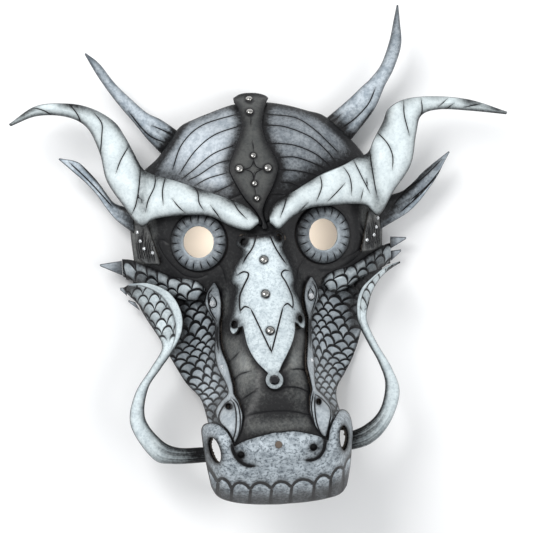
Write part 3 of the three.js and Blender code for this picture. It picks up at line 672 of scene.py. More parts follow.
def leather(name, paint, tint, gain, speckle=0.3, sponged=0.5, line=1.0, border=0.35, fade=3.0, scaly=False,
            arc=0.2, coat=0.04, spots=GREYED, under=0.42):
    """Moulded leather with its lines, border, scales, rubbed paint and plain lining.

    The mesh's shade says how far the light paint is darkened towards black: none at 0 and all of it at 1. It
    is partly the leather's own antiquing and partly painted shade, lessened where highlights are painted.
    """
    light = tinted(getattr(bpy.context.scene.dragon_mask_colours, paint), tint, gain)
    material, w = new_material(name)
    lines = w.group(tooled_line_group(), {"Signed": w.attribute("tool"), "Near": w.attribute("near"),
                                          "Width": line * sizes().line})
    edges = w.group(border_group(), {"Edge": w.attribute("edge"), "Width": border, "Fade": fade})
    ink = w.calc("MAXIMUM", lines["Mask"], edges["Ink"])
    shade = w.calc("MAXIMUM", w.attribute("shade"), edges["Shade"])
    if scaly:
        scales = w.group(scales_group(), {"U": w.attribute("scale_u"), "V": w.attribute("scale_v"),
                                          "Width": arc})
        amount = w.attribute("scaly")
        ink = w.calc("MAXIMUM", ink, w.calc("MULTIPLY", scales["Ink"], amount))
        # painted shadow just beyond each scale's round end
        painted_shadow = w.calc("MULTIPLY", scales["Shade"], under)
        uneven = w.calc("MULTIPLY", w.calc("SUBTRACT", scales["Tone"], 0.5), 0.5)
        shade = w.calc("ADD", shade, w.calc("MULTIPLY", w.calc("ADD", painted_shadow, uneven), amount), clamp=True)
    finish = w.group(antique_group(), {
        "Light": (*light, 1), "Grey": (*tinted(light, spots), 1), "Dark": BLACKED, "Shade": shade,
        "Ink": ink, "Speckle": speckle, "Sponged": sponged})
    inside = w.ease(w.attribute("inside"), 0.3, 0.7)
    bump = w.node("ShaderNodeBump", {"Strength": 0.55, "Distance": 0.0005, "Height": finish["Height"]})
    w.surface({
        "Base Color": w.blend(inside, finish["Color"], LINING),
        "Roughness": w.calc("MAXIMUM", finish["Roughness"], w.calc("MULTIPLY", inside, 0.85)),
        "Normal": bump.outputs[0], "Coat Weight": coat, "Coat Roughness": 0.3, "Specular IOR Level": 0.14})
    return material


def chrome(name):
    """Polished studs, a little hazed."""
    material, w = new_material(name)
    haze = w.ease(w.noise(900.0, 2.0), 0.3, 0.8, 0.08, 0.2)
    # the metal is darker than polished chrome, a painted stand-in for dark reflections that the pale studio
    # does not give
    w.surface({"Base Color": (0.38, 0.37, 0.355, 1), "Metallic": 1, "Roughness": haze})
    return material


def crystal(name, colour=(0.86, 0.88, 0.90), clear=0.6, ior=1.7):
    """Cut stones on dark leather."""
    material, w = new_material(name)
    haze = w.ease(w.noise(700.0, 2.0), 0.3, 0.8, 0.01, 0.06)
    w.surface({"Base Color": (*colour, 1), "Transmission Weight": clear, "IOR": ior, "Roughness": haze})
    return material


# Sizes and colours that a user would change

class DragonMaskSizes(bpy.types.PropertyGroup):
    """Fineness and depth of the leather work."""
    cell: bpy.props.FloatProperty(name="Cell", description="Size of a mesh cell on the plates, in mm",
                                  default=0.8, min=0.4, max=4)
    groove: bpy.props.FloatProperty(name="Groove", description="Depth of a tooled line, in mm", default=0.35,
                                    min=0, max=1)
    line: bpy.props.FloatProperty(name="Line", description="Width of the ink in a tooled line, in mm",
                                  default=0.6, min=0.2, max=2)


class DragonMaskColours(bpy.types.PropertyGroup):
    """Paints of the leather."""
    silver: bpy.props.FloatVectorProperty(name="Silver", description="Paint of the skull, snout and horns",
                                          size=3, subtype="COLOR", default=(0.45, 0.49, 0.515), min=0, max=1)
    white: bpy.props.FloatVectorProperty(name="White", description="Paint of the brows, nose and whiskers",
                                         size=3, subtype="COLOR", default=(0.74, 0.79, 0.80), min=0, max=1)
    charcoal: bpy.props.FloatVectorProperty(name="Charcoal", description="Paint of the dark leather", size=3,
                                            subtype="COLOR", default=(0.075, 0.075, 0.072), min=0, max=1)


class DragonMaskStudio(bpy.types.PropertyGroup):
    """The stage's lights."""
    key: bpy.props.FloatProperty(name="Key light", description="Power of the big soft light", default=21.0,
                                 min=0, subtype="POWER", unit="POWER")
    fill: bpy.props.FloatProperty(name="Fill light", description="Power of the light across from it",
                                  default=7.5, min=0, subtype="POWER", unit="POWER")
    glow: bpy.props.FloatProperty(name="Glow", description="Power of a small warm lamp under an eye hole",
                                  default=0.014, min=0, subtype="POWER", unit="POWER")


def sizes():
    return bpy.context.scene.dragon_mask_sizes


def tinted(colour, by, gain=1.0):
    """A paint tinted by another colour and made brighter."""
    return tuple(min(1, c * t * gain) for c, t in zip(colour, by))


# Outlines that more than one piece keeps to

FOREHEAD_RIM = {
    "right": [(0, 87), (12, 86), (24, 83.4), (36, 79.4), (46, 76), (56, 66.6), (65, 56.4), (70, 50)],
    "left": [(0, 87), (12, 85.6), (25.6, 81.4), (36, 77.8), (45, 73.6), (52.5, 64), (60, 55), (68, 48.5)],
}
JOINT_XS = (72, 54, 36, 18, 0)       # from the temple to the middle


def joint(x):
    """The joint between forehead and face, hidden under the brows."""
    return 8 + 0.6 * x - 0.0035 * x * x


BROW_HORN = {
    "right": [
        (4.6, 15.5, 62, 5.2, 9, 62, 2, 8), (8.4, 21.5, 60, 10.4, 5.5, 62, 6, 10),
        (18, 26.5, 57, 19, 12.2, 59, 7, 12), (29, 32.5, 53, 31, 17.2, 54, 7.5, 14),
        (41, 38.5, 48, 44, 18, 50, 8, 16), (54, 43, 41, 57, 18.3, 45, 8, 16),
        (64, 47.6, 34, 67, 17, 39, 7.5, 10), (71.5, 50.5, 30, 75.5, 10.6, 35, 7, 2),
        (75.5, 58, 30, 86, 25, 32, 7.5, 0), (82, 69, 31, 98, 41, 30, 7.5, -1),
        (86, 77, 32, 102.5, 60, 31, 6, -1), (97, 82.4, 33, 106.5, 71.5, 32, 4, 1),
        (116, 83, 33, 118, 74.6, 33, 3, 2), (138, 79.4, 34, 137, 72.6, 34, 2.4, 2),
        (160.4, 70.6, 35, 159.6, 69, 35, 0.2, 0.2)],
    "left": [
        (2.4, 13.5, 62, 2, 9.4, 62, 2, 8), (7.4, 19.4, 60, 9, 5.6, 62, 6, 10),
        (17, 25, 57, 19.5, 9, 59, 7, 12), (29, 30.2, 53, 31, 15.7, 54, 7.5, 14),
        (40, 35, 49, 44, 17.4, 50, 8, 16), (52, 40, 42, 56, 17.3, 45, 8, 16),
        (62, 43.6, 35, 66, 16, 39, 7.5, 10), (70, 48.5, 30, 74, 12.5, 35, 7, 2),
        (75, 58.5, 30, 83, 25, 32, 7.5, 0), (80, 69, 31, 93, 42, 30, 7.5, -1),
        (86, 78.5, 32, 96.5, 60, 31, 6, -1), (98, 86.9, 33, 103.5, 76, 32, 4.5, 1),
        (113, 91.5, 33, 116, 83.4, 33, 3.2, 2), (134, 91.2, 34, 134, 84.8, 34, 2.4, 2),
        (151.8, 80.8, 35, 150.6, 79.4, 35, 0.2, 0.2)],
}

CREST_RUNS = [
    [(-10.1, 90), (-6, 92.3), (-1.4, 93), (5.3, 92.5), (10.3, 90.7), (12.1, 88.7)],
    [(12.1, 88.7), (9.8, 85), (7.6, 79.7), (5.8, 72.8), (5.7, 67), (7.2, 60.1), (10.4, 53.1), (12.7, 47.4),
     (13.2, 42.9), (11.9, 38.5), (8.5, 30.9), (4.1, 23.4), (1.8, 16.9), (2.7, 11.3), (3.8, 7.4), (3, 5.6)],
    [(0.4, 5.6), (-0.4, 7.6), (-0.1, 10.4), (-3.5, 17.2), (-9.6, 25.4), (-14.4, 34.5), (-17.2, 41.4),
     (-17.7, 44.8), (-16.6, 49.2), (-12.5, 57.9), (-9, 65.6), (-7.2, 71.3), (-7.1, 77.1), (-8, 82.5),
     (-10.1, 86.8)],
]

NOSE_RUNS = {
    "right": [
        [(-1.2, 2.5), (6.7, 3.2), (9, 4), (11.5, 3.7), (13.5, 1.6), (14.1, -1.2), (13, -3.5), (12, -5.9)],
        [(12, -5.9), (12.9, -9), (15, -13), (17.6, -20), (18.4, -26.5), (16.9, -30)],
        [(16.9, -30), (17.6, -33.5), (19.8, -38), (21.6, -45), (22.6, -51), (22.4, -55), (20.8, -56.8),
         (18.4, -55.8), (16.4, -53.4)],
        [(15.3, -52.6), (15.1, -56.5), (13.9, -61), (11.6, -66), (8, -72), (4.6, -77.2), (3.2, -80)],
    ],
    "left": [
        [(1.2, 2.5), (8.9, 2.5), (11.8, 3.1), (14.6, 1.9), (16.1, -0.6), (15.7, -3.1), (13.6, -5.2),
         (12.5, -6.8)],
        [(12.5, -6.8), (13.3, -9.5), (15.7, -13), (18, -16.5), (19.8, -20.5), (20.8, -24.6), (19.4, -27.6)],
        [(18.4, -28.2), (18.7, -31), (20, -36), (21.9, -44), (23.9, -51), (24.3, -55.2), (22.6, -57.8),
         (20.2, -56.4), (18.6, -53.6)],
        [(17.2, -53), (16.8, -58), (16, -64), (14, -70), (11, -75.2), (7.6, -79.2), (5.6, -81.4)],
    ],
}
NOSE_BOSS = Vector((-1.2, -85.8, 0))
BOSS_RADIUS = 6
NOSE_HOLES = [(-11.9, -1.1, 0.35), (10.3, 0.4, -0.4), (-21.3, -51.3, 0.1), (19, -50.4, -0.2)]

STRAP_X = {
    "left": profile([(-25, 31), (-37.5, 32.3), (-50, 30.6), (-65, 31.4), (-77, 29.7), (-91, 27), (-104, 29.2),
                     (-122, 28.4)]),
    "right": profile([(-25, 29.5), (-37.5, 28.8), (-50, 26.6), (-65, 24.6), (-82, 22.6), (-91, 22.8),
                      (-104, 26), (-122, 26.6)]),
}
STRAP_ENDS = (-25, -122)
STRAP_HALF_WIDTH = profile([(-25, 0.8), (-31, 4), (-37.5, 5), (-44, 3.6), (-51, 1.4), (-60, 1.4), (-68, 2.2),
                            (-77, 3), (-86, 2), (-92, 1.6), (-98, 5), (-105, 7.5), (-113, 6), (-122, 1)])

SNOUT_RUNS = {
    "right": [
        [(0, -117), (9, -116.8), (21.5, -120), (28.5, -123.5)],
        [(28.5, -123.5), (30, -117), (33.6, -111.2), (39.5, -107.4), (45.4, -109.2), (48, -114.6),
         (47.6, -124)],
        [(47.6, -124), (46.4, -140), (43.6, -156)],
        [(43.6, -156), (39.6, -160), (32, -161.8), (18, -163.6), (0, -164.2)],
    ],
    "left": [
        [(0, -117), (5, -117), (21.1, -120.4), (28, -123.5)],
        [(28, -123.5), (30, -118), (32.8, -113.3), (37, -110.2), (42.4, -110.4), (45.6, -114.4),
         (45.6, -124)],
        [(45.6, -124), (43.4, -139), (41.4, -150)],
        [(41.4, -150), (37.6, -156.4), (29, -160.2), (16, -162.8), (0, -164.2)],
    ],
}


def snout_loop():
    return outline(halves(SNOUT_RUNS["right"], SNOUT_RUNS["left"]))


def crest_loop():
    return outline(CREST_RUNS)


def nose_loop():
    """The nose plate's outline, round its lobes and the boss at its tip."""
    right = outline(NOSE_RUNS["right"])
    left = outline([run[::-1] for run in mirrored(NOSE_RUNS["left"], -1)[::-1]])
    first, last = (math.atan2(p.y - NOSE_BOSS.y, p.x - NOSE_BOSS.x) for p in (right[-1], left[0]))
    turn = first - last + 2 * math.pi
    steps = 28
    boss = [NOSE_BOSS + Vector((math.cos(a), math.sin(a), 0)) * BOSS_RADIUS
            for a in (first - turn * k / steps for k in range(steps + 1))]
    return spaced(right + boss + left)


def strap_loop(name, side):
    """A side strap's outline, from its width along its middle line."""
    count = 70
    ys = [mix(*STRAP_ENDS, i / count) for i in range(count + 1)]
    inner = [Vector((side * (STRAP_X[name](y) - STRAP_HALF_WIDTH(y)), y, 0)) for y in ys]
    outer = [Vector((side * (STRAP_X[name](y) + STRAP_HALF_WIDTH(y)), y, 0)) for y in ys]
    return inner + outer[::-1]


def holds(loop, p):
    """True where a closed outline goes round a point."""
    inside = False
    for a, b in zip(loop, loop[1:] + loop[:1]):
        if (a.y > p.y) != (b.y > p.y) and p.x < a.x + (b.x - a.x) * (p.y - a.y) / (b.y - a.y):
            inside = not inside
    return inside


def kept_clear(loop, blocker, gap):
    """An outline with the part that runs under another moved out to that one's edge."""
    border = Lines([blocker], closed=True, step=0.1)
    moved = []
    for p in loop:
        _, i, near = border.tree.find(p)
        place, along, _ = border.samples[i]
        inside = holds(blocker, p)
        if inside or near < gap:
            away = Vector((along.y, -along.x, 0))
            if holds(blocker, place + away * 0.3):
                away.negate()
            p = place + away * gap
        moved.append(p)
    return spaced(moved, 0.08)


# Pieces

class MaskOperator:
    """What the mask's operators share."""
    bl_options = {"REGISTER", "UNDO"}

    def execute(self, context):
        self.make()
        return {"FINISHED"}


FOREHEAD_LINES = [
    [(-9, 79.2), (-31.4, 73.5), (-44.8, 62.3), (-51.5, 47.5)],
    [(-8.7, 71.3), (-24.7, 66.6), (-37.3, 57.2), (-47.5, 44.1)],
    [(-12.4, 59.4), (-26.5, 54.6), (-38.8, 45.7), (-45.9, 40.8)],
    [(-15.7, 50.1), (-25.1, 48.2), (-36.1, 42), (-42.7, 39.3)],
    [(-18.9, 42.1), (-30.1, 39.7), (-38.3, 35.9)],
    [(-15.7, 35.1), (-27.7, 30.2)],
    [(-10.6, 28.5), (-18.2, 25.9)],
    [(9.1, 78), (26.6, 75.2), (37.9, 67.5), (47.7, 56.8), (52.4, 51.5)],
    [(6.9, 71), (20, 69.3), (35.8, 61.8), (45.8, 51.7), (49.8, 45.8)],
    [(9.1, 59.3), (24.4, 57.2), (37.8, 50.8), (46.2, 42.8)],
    [(13.5, 49.9), (24.2, 49.6), (35.4, 45.3), (42.7, 41.1)],
    [(14.1, 42.3), (26, 40.7), (38.5, 36.9)],
    [(13.5, 34.6), (19.7, 33.6), (24, 31.5)],
    [(8.6, 27.1), (14.8, 26.7)],
]


class MESH_OT_dragon_forehead(MaskOperator, bpy.types.Operator):
    """Adds the moulded skull with its fans of tooled lines"""
    bl_idname = "mesh.dragon_forehead"
    bl_label = "Forehead"

    def make(self):
        joined = [(x, joint(x)) for x in JOINT_XS]
        rims = [FOREHEAD_RIM["right"], FOREHEAD_RIM["left"]]
        loop = outline(halves(*([run, joined] for run in rims)))
        rim = Lines(lines_of(halves(*([run, [run[-1], joined[0]]] for run in rims))))
        crest = Lines([crest_loop()], closed=True)
        brows = Lines([curve([(side * s[0], s[1]) for s in BROW_HORN[name][:9]]) for name, side in SIDES])

        # Darker on the right half, in a band at each side and at the rim; painted shadow beside the crest and
        # the brows; painted highlights, mostly on the left half.
        def shade(x, y, edge):
            right_half_darker = 0.3 * smoothstep(x, -4, 6)
            flank = 0.75 * fading(edge, 4.5) * smoothstep(abs(x), 36, 47)
            painted_shadow = 0.7 * fading(crest.near(x, y), 4.2) + 0.6 * fading(brows.near(x, y), 7.5)
            dark = painted_shadow + 0.5 * fading(edge, 3.6)
            paler = (0.34 * patch(x + 31, y - 38, 13, 6) + 0.3 * patch(x + 33, y - 60, 12, 9)
                     + 0.12 * patch(x - 30, y - 64, 16, 9))
            return 0.13 + right_half_darker + flank + dark - paler

        cell = sizes().cell
        bm = sheet([loop], -LEATHER, 0, lines=lines_of(FOREHEAD_LINES), pitch=(cell, cell),
                   groove=sizes().groove, shade=shade, rim=rim.on)
        silver = leather("Silver skull leather", "silver", (1, 1, 1.02), 1.2, speckle=0.4, sponged=0.55,
                         line=0.8)
        finish_piece(bm, "forehead_dome", silver)


CREST_LINES = [
    [(-0.8, 76.5), (-1.5, 71.4)], [(-1.5, 60.5), (-1.4, 55.4)], [(-2.7, 31.7), (-2.2, 27.3)],
    [(-1.9, 49.8), (-3.1, 46.1), (-5.3, 44.3), (-9, 43.8)], [(-1.9, 49.8), (-1.2, 46), (0.6, 44), (4, 43.2)],
    [(-2.8, 36.1), (-3.3, 40.5), (-5.1, 42.5), (-9, 43.6)],
    [(-2.8, 36.1), (-1.6, 40.4), (0.5, 42.1), (4, 43.2)],
]


class MESH_OT_dragon_crest(MaskOperator, bpy.types.Operator):
    """Adds the dark studded strap down the forehead"""
    bl_idname = "mesh.dragon_crest"
    bl_label = "Crest strap"

    def make(self):
        def shade(x, y, edge):
            # painted shadow on the leather round each stud
            beside = max(fading(math.hypot(x - sx, y - sy) - r, 0.9) for sx, sy, r in CREST_STUDS)
            return (0.06 + 0.8 * fading(edge, 3) + 0.25 * smoothstep(-y, -24, -8)
                    - 0.1 * patch(x, y - 62, 6, 12) + 0.9 * beside)

        cell = sizes().cell * 0.8
        bm = sheet([crest_loop()], GAP, LEATHER + GAP, surface=crest_surface, lines=lines_of(CREST_LINES),
                   pitch=(cell, cell), groove=0.35, shade=shade)
        dark = leather("Dark strap leather", "charcoal", (0.98, 1, 1), 1.2, speckle=0.35, sponged=0.5,
                       line=0.6, border=0.45, fade=2.6)
        finish_piece(bm, "crest_strap", dark)


PANEL_LINES = [
    [(62.4, 1.3), (64.2, -3.8), (61, -10.6), (50.8, -14.9)], [(-64.1, 3.4), (-60.5, 3.4), (-57.6, 1.1)],
    [(-25.4, -74.1), (-20.1, -68.6)], [(-25.6, -86.5), (-20.9, -81.7), (-15.2, -79.9)],
    [(-20.7, -96.4), (-12.1, -90.7)], [(10.1, -80.2), (16.5, -80.8), (22.4, -84.5)],
    [(3.6, -90.5), (12.1, -91.1), (19.5, -94.7)],
    [(-22.3, -107.5), (-12.6, -105), (-1.7, -104.5), (9.1, -105.5), (19.3, -108.3)],
    [(-28.4, -12.5), (-25, -17.7), (-23.6, -25.2)], [(26.4, -13.4), (22.1, -19.4), (20.2, -26.7)],
    [(-63.7, 3.3), (-62.2, -2.5), (-58.2, -9.7), (-53, -15.8), (-48.2, -19.9), (-40.8, -21.6), (-35.1, -20)],
    [(63.4, 6), (66.6, -2.5), (62.6, -12), (54, -18.4), (45, -21.5), (36, -21)],
    [(-26.5, -30), (-28.4, -40), (-28, -52)], [(25, -29), (26, -40), (24.4, -50)],
]
TEMPLE_RUN = [(72, joint(72)), (79, 24), (79.4, 8), (78.4, -8)]
BY_CHEEKBONE = [[(78.4, -8), (83.4, -11)], [(83.4, -11), (84, -20)]]


class MESH_OT_dragon_face(MaskOperator, bpy.types.Operator):
    """Adds the dark panel that carries the eyes and the muzzle"""
    bl_idname = "mesh.dragon_face"
    bl_label = "Face panel"

    def make(self):
        top = [(x, joint(x)) for x in JOINT_XS[::-1]]
        under_eye = [(84, -20), (62, -24), (46, -27), (36, -31)]
        under_snout = [[(31.5, -117), (31.5, -130)], [(28, -133), (0, -135)]]
        half = {name: [top, TEMPLE_RUN, *BY_CHEEKBONE, under_eye,
                       [(STRAP_X[name](y), y) for y in range(-36, -109, -12)], *under_snout]
                for name, _ in SIDES}
        loop = outline(halves(half["right"], half["left"]))
        holes = [ring(side * EYE["x"], EYE["y"], 11, count=40)[::-1] for _, side in SIDES]
        rim = Lines(lines_of(run for _, side in SIDES for run in mirrored([TEMPLE_RUN, *BY_CHEEKBONE], side)))
        nose = Lines([nose_loop()], closed=True)
        straps = Lines([strap_loop(name, side) for name, side in SIDES], closed=True)
        pits = [*NOSE_HOLES, *((*place, 0) for place in (*STRAP_HOLES.values(), *SNOUT_HOLES))]

        def shade(x, y, edge):
            pit = min(math.hypot(x - px, y - py) for px, py, _ in pits)
            # paler patches on the muzzle, partly the leather's own silver paint and partly painted highlights
            patches = (0.42 * patch(x + 17, y + 75, 5, 9) + 0.36 * patch(x - 12, y + 74, 4, 9)
                       + 0.12 * patch(x + 25, y + 44, 5, 18) + 0.1 * patch(x - 24, y + 42, 4, 18)
                       + 0.1 * patch(x, y + 113, 18, 3) + 0.12 * patch(x - 12, y + 98, 7, 4))
            # painted shadow beside the nose plate and the straps
            beside = 0.4 * fading(nose.near(x, y), 2.6) + 0.35 * fading(straps.near(x, y), 2.6)
            # darker below the boss; painted shadow under the snout's edge and painted shade round the holes
            # in the pieces above, which show this panel
            muzzle = (0.6 - patches + beside + 0.42 * patch(x, y + 101, 17, 8)
                      + 0.45 * smoothstep(-y, 114, 121) + 0.6 * fading(pit, 3))
            # the temples' own paler grey, and a painted highlight below each eye
            temple = 0.5 * smoothstep(abs(x), 61, 68) * smoothstep(y, -14, -8) * (1 - smoothstep(y, 16, 26))
            paler = temple + 0.1 * patch(abs(x) - 20, y + 18, 4, 9)
            return mix(muzzle, 0.97 - paler, smoothstep(y, -38, -20))

        cell = sizes().cell * 1.1
        bm = sheet([loop, *holes], -LEATHER, 0, lines=lines_of(PANEL_LINES), pitch=(cell, cell), shade=shade,
                   groove=sizes().groove, rim=rim.on)
        dark = leather("Dark face leather", "charcoal", (0.99, 1.01, 1), 4.7, speckle=0.3, sponged=0.55,
                       coat=0.12)
        finish_piece(bm, "face_panel", dark)


NOSE_LINES = [
    [(-3.7, 2.6), (-6.4, -4.6), (-10.4, -9.9), (-13, -14.1)],
    [(4.3, 2.2), (7.1, -5.4), (10.8, -12.2), (13.5, -16.3)],
    [(-16.7, -21.3), (-13.1, -19.6), (-10.5, -21.6), (-14.3, -28.8), (-16.9, -34.8), (-17.6, -43.9)],
    [(-17.6, -43.9), (-14.7, -40.9), (-11.4, -42.2)], [(-11.4, -42.2), (-1.5, -69.2)],
    [(15.1, -20.7), (11.7, -20.2), (9.6, -22.8), (12.1, -27.9), (15.1, -36.7), (14.8, -44)],
    [(14.8, -44), (11.5, -40.6), (8.3, -42.5)], [(8.3, -42.5), (-1.5, -69.2)],
]


class MESH_OT_dragon_nose(MaskOperator, bpy.types.Operator):
    """Adds the silver plate on the muzzle"""
    bl_idname = "mesh.dragon_nose"
    bl_label = "Nose plate"

    def make(self):
        holes = [ring(x, y, 1.6, 2.1, -turn)[::-1] for x, y, turn in NOSE_HOLES]
        loop = nose_loop()
        cell = sizes().cell * 0.8

        def shade(x, y, edge):
            upper = smoothstep(y, -56, -46)
            hole = min(math.hypot(x - px, y - py) for px, py, _ in NOSE_HOLES)
            # painted shadow on the leather round each stud
            beside = max(fading(math.hypot(x - sx, y - sy) - r, 0.7) for sx, sy, r in NOSE_STUDS)
            # painted shade where the plate's edge rolls off, wider on its upper part
            border = 0.18 * fading(edge, 1.6) + (0.42 * fading(edge, 2.4) + 0.25 * fading(edge, 4)) * upper
            # painted shadow along the top, beside the crest's end; darker towards the tip, round the boss and
            # round the holes
            return (0.02 + 0.1 * smoothstep(-y, 10, 80) + 0.35 * smoothstep(y, -3, 3) + border
                    + 0.35 * patch(x - NOSE_BOSS.x, y + 86, 6, 5) + 0.3 * fading(hole, 2.9) + 0.9 * beside)

        bm = sheet([loop, *holes], GAP, LEATHER, lines=lines_of(NOSE_LINES), pitch=(cell, cell), shade=shade,
                   groove=sizes().groove, plain_edge=lambda x, y: 0.7 * smoothstep(y, -54, -50))
        white = leather("White nose leather", "white", (0.94, 0.98, 1), 1, speckle=0.5, sponged=0.3,
                        line=1.15, border=0.65, fade=1.2)
        finish_piece(bm, "nose_plate", white)


TOOTH_DROP = 0.9                     # how far the teeth stand back from the gum
TOOTH_KNOTS = [(-50, -135), (-37.9, -147), (-29.9, -151.1), (-18.6, -152.1), (-5.7, -152.6), (6.5, -152.5),
               (20.3, -151.5), (30.4, -148.8), (39.3, -143.8), (50, -140)]
TOOTH_ARCH = [(0, 0), (0.05, 1.6), (0.17, 3.6), (0.4, 4.7), (0.7, 3.7), (0.92, 1.2), (1, 0)]
SNOUT_SLITS = [[(-29.7, -123.7), (-28.4, -128.4), (-25.4, -133), (-21.4, -136), (-17.1, -137)],
               [(26.9, -123.5), (25.9, -129), (23.2, -133.2), (19.7, -135.1), (15.8, -135.5)]]
SNOUT_HOLES = [(-24.4, -129.4), (19.5, -127.6)]
# x, y, half its width, half its length and its turn
NOSTRIL_HOLES = [(-39.6, -126, 2.9, 8, 0.22), (39, -123.6, 3.2, 7.8, 0.04)]


def tooth_arches():
    """The arches over the teeth, from knot to knot."""
    return [curve([(mix(x0, x1, t), mix(y0, y1, t) + rise) for t, rise in TOOTH_ARCH], 4)
            for (x0, y0), (x1, y1) in zip(TOOTH_KNOTS, TOOTH_KNOTS[1:])]


def gum_line():
    """Height of the arches at x."""
    points = [(p.x, p.y) for arch in tooth_arches() for p in arch]

    @lru_cache(maxsize=None)
    def height(x):
        for (x0, y0), (x1, y1) in zip(points, points[1:]):
            if x0 <= x <= x1 and x1 > x0:
                return mix(y0, y1, (x - x0) / (x1 - x0))
        return TOOTH_KNOTS[0][1]
    return height


class MESH_OT_dragon_snout(MaskOperator, bpy.types.Operator):
    """Adds the snout with its nostrils and teeth"""
    bl_idname = "mesh.dragon_snout"
    bl_label = "Snout"

    def make(self):
        loop = snout_loop()
        nostrils = [ring(*hole, count=32) for hole in NOSTRIL_HOLES]
        holes = [points[::-1] for points in nostrils] + [ring(x, y, 1.8)[::-1] for x, y in SNOUT_HOLES]
        arches = tooth_arches()
        gum = gum_line()
        gaps = [[Vector((x, y + 0.6, 0)), Vector((x * 1.01, -170, 0))] for x, y in TOOTH_KNOTS[1:-1]]
        slits = Lines(lines_of(SNOUT_SLITS), taper=5)
        teeth = Lines(gaps)
        openings = Lines(nostrils, closed=True)

        def below_gum(x, y):
            return gum(round(x, 1)) - y

        def relief(x, y):
            near = slits.near(x, y)
            flap = 0.5 * fading(near, 1.3) + 0.35 * fading(near, 4)
            rounded = 1 - 0.5 * smoothstep(teeth.near(x, y), 0.3, 4)
            return -smoothstep(below_gum(x, y), -0.2, 0.9) * TOOTH_DROP * rounded - flap

        def shade(x, y, edge):
            below = below_gum(x, y)
            signed, near = slits.at(x, y)
            hole = min(math.hypot(x - px, y - py) for px, py in SNOUT_HOLES)
            tooth = (0.14 + 0.62 * smoothstep(below, 2.5, 12) - 0.14 * fading(below - 2, 0.8)
                     + 0.25 * fading(teeth.near(x, y), 1.6))
            # painted shadow on the side of each slit that its flap overlaps
            slit = 0.5 * fading(near, 1.5) + 0.28 * fading(near, 4.5) * (signed * x > 0)
            flank = 0.3 * smoothstep(abs(x), 32, 48) * smoothstep(-y, 108, 138)
            lobes = (0.1 + flank + 0.3 * fading(edge, 1.8) + 0.3 * fading(hole, 3.4) + slit
                     + 0.25 * fading(openings.near(x, y), 2.4) + 0.4 * fading(below, 2.2))
            return mix(lobes, tooth, smoothstep(below, 0, 0.6))

        cell = sizes().cell * 0.8
        bm = sheet([loop, *holes], GAP, LEATHER, lines=lines_of(SNOUT_SLITS) + arches + gaps, taper=1.2,
                   pitch=(cell, cell * 0.75), shade=shade, relief=relief, groove=sizes().groove)
        silver = leather("Speckled snout leather", "silver", (1, 1.02, 1.04), 1.3, speckle=0.8, sponged=0.5,
                         line=2.7, border=0.4, fade=1.5, spots=(0.14, 0.16, 0.18))
        finish_piece(bm, "snout_plate", silver)


class MESH_OT_dragon_eyes(MaskOperator, bpy.types.Operator):
    """Adds the domed rings round the eye holes"""
    bl_idname = "mesh.dragon_eyes"
    bl_label = "Eye rings"

    def make(self):
        section = [(9.9, 0.4), (9.8, 1.4), (10.0, 2.1), (10.6, 2.7), (11.6, 3.3), (12.8, 3.75), (14, 3.7),
                   (15.2, 3.3), (16.4, 2.75), (17.4, 2.1), (18.2, 1.5), (18.7, 0.9), (18.75, 0.4), (14, 0.4),
                   (9.9, 0.4)]
        rim = 18.75
        dash_count = 19
        fine = []
        for (r0, z0), (r1, z1) in zip(section, section[1:]):
            steps = max(1, round(math.hypot(r1 - r0, z1 - z0) / 0.45)) if max(z0, z1) > 0.5 else 2
            fine += [(mix(r0, r1, k / steps), mix(z0, z1, k / steps)) for k in range(steps)]
        silver = leather("Silver eye leather", "silver", (0.98, 1, 1.02), 1.05, speckle=0.3, sponged=0.5,
                         line=0.85, border=0.9, fade=2.2)
        for name, side in SIDES:
            turns = [2 * math.pi * (k + 0.5) / dash_count for k in range(dash_count)]
            dashes = [[Vector((r * math.cos(a), r * math.sin(a), 0)) for r in (12.9, 17.2)] for a in turns]
            tooling = Lines(dashes, taper=1.5)
            bm = lathe(fine, 200)
            layers = {key: bm.verts.layers.float[key] for key in ATTRIBUTES}
            for v in bm.verts:
                r = math.hypot(v.co.x, v.co.y)
                tool, near = tooling.at(v.co.x, v.co.y)
                # darker towards the upper left
                upper_left_darker = 0.16 * smoothstep(-v.co.x + v.co.y, 0, 20)
                dark = (0.3 + upper_left_darker - 0.26 * fading(r - 10, 0.8) + 0.1 * fading(near, 1.2)
                        + 0.45 * smoothstep(r, 13.5, 18.5))
                note(v, layers, tool=tool, near=near, edge=max(0, rim - r), shade=min(1, dark),
                     inside=int(v.co.z < 0.45))
                if v.co.z > 1:
                    v.co.z -= 0.4 * fading(near, 0.6)
            tilt = Matrix.Rotation(math.atan(side * EYE["slope"]), 4, "Y")
            place = Matrix.Translation((side * EYE["x"], EYE["y"], EYE["z"]))
            bmesh.ops.transform(bm, matrix=place @ tilt, verts=bm.verts[:])
            finish_piece(bm, f"eye_ring_{name}", silver)


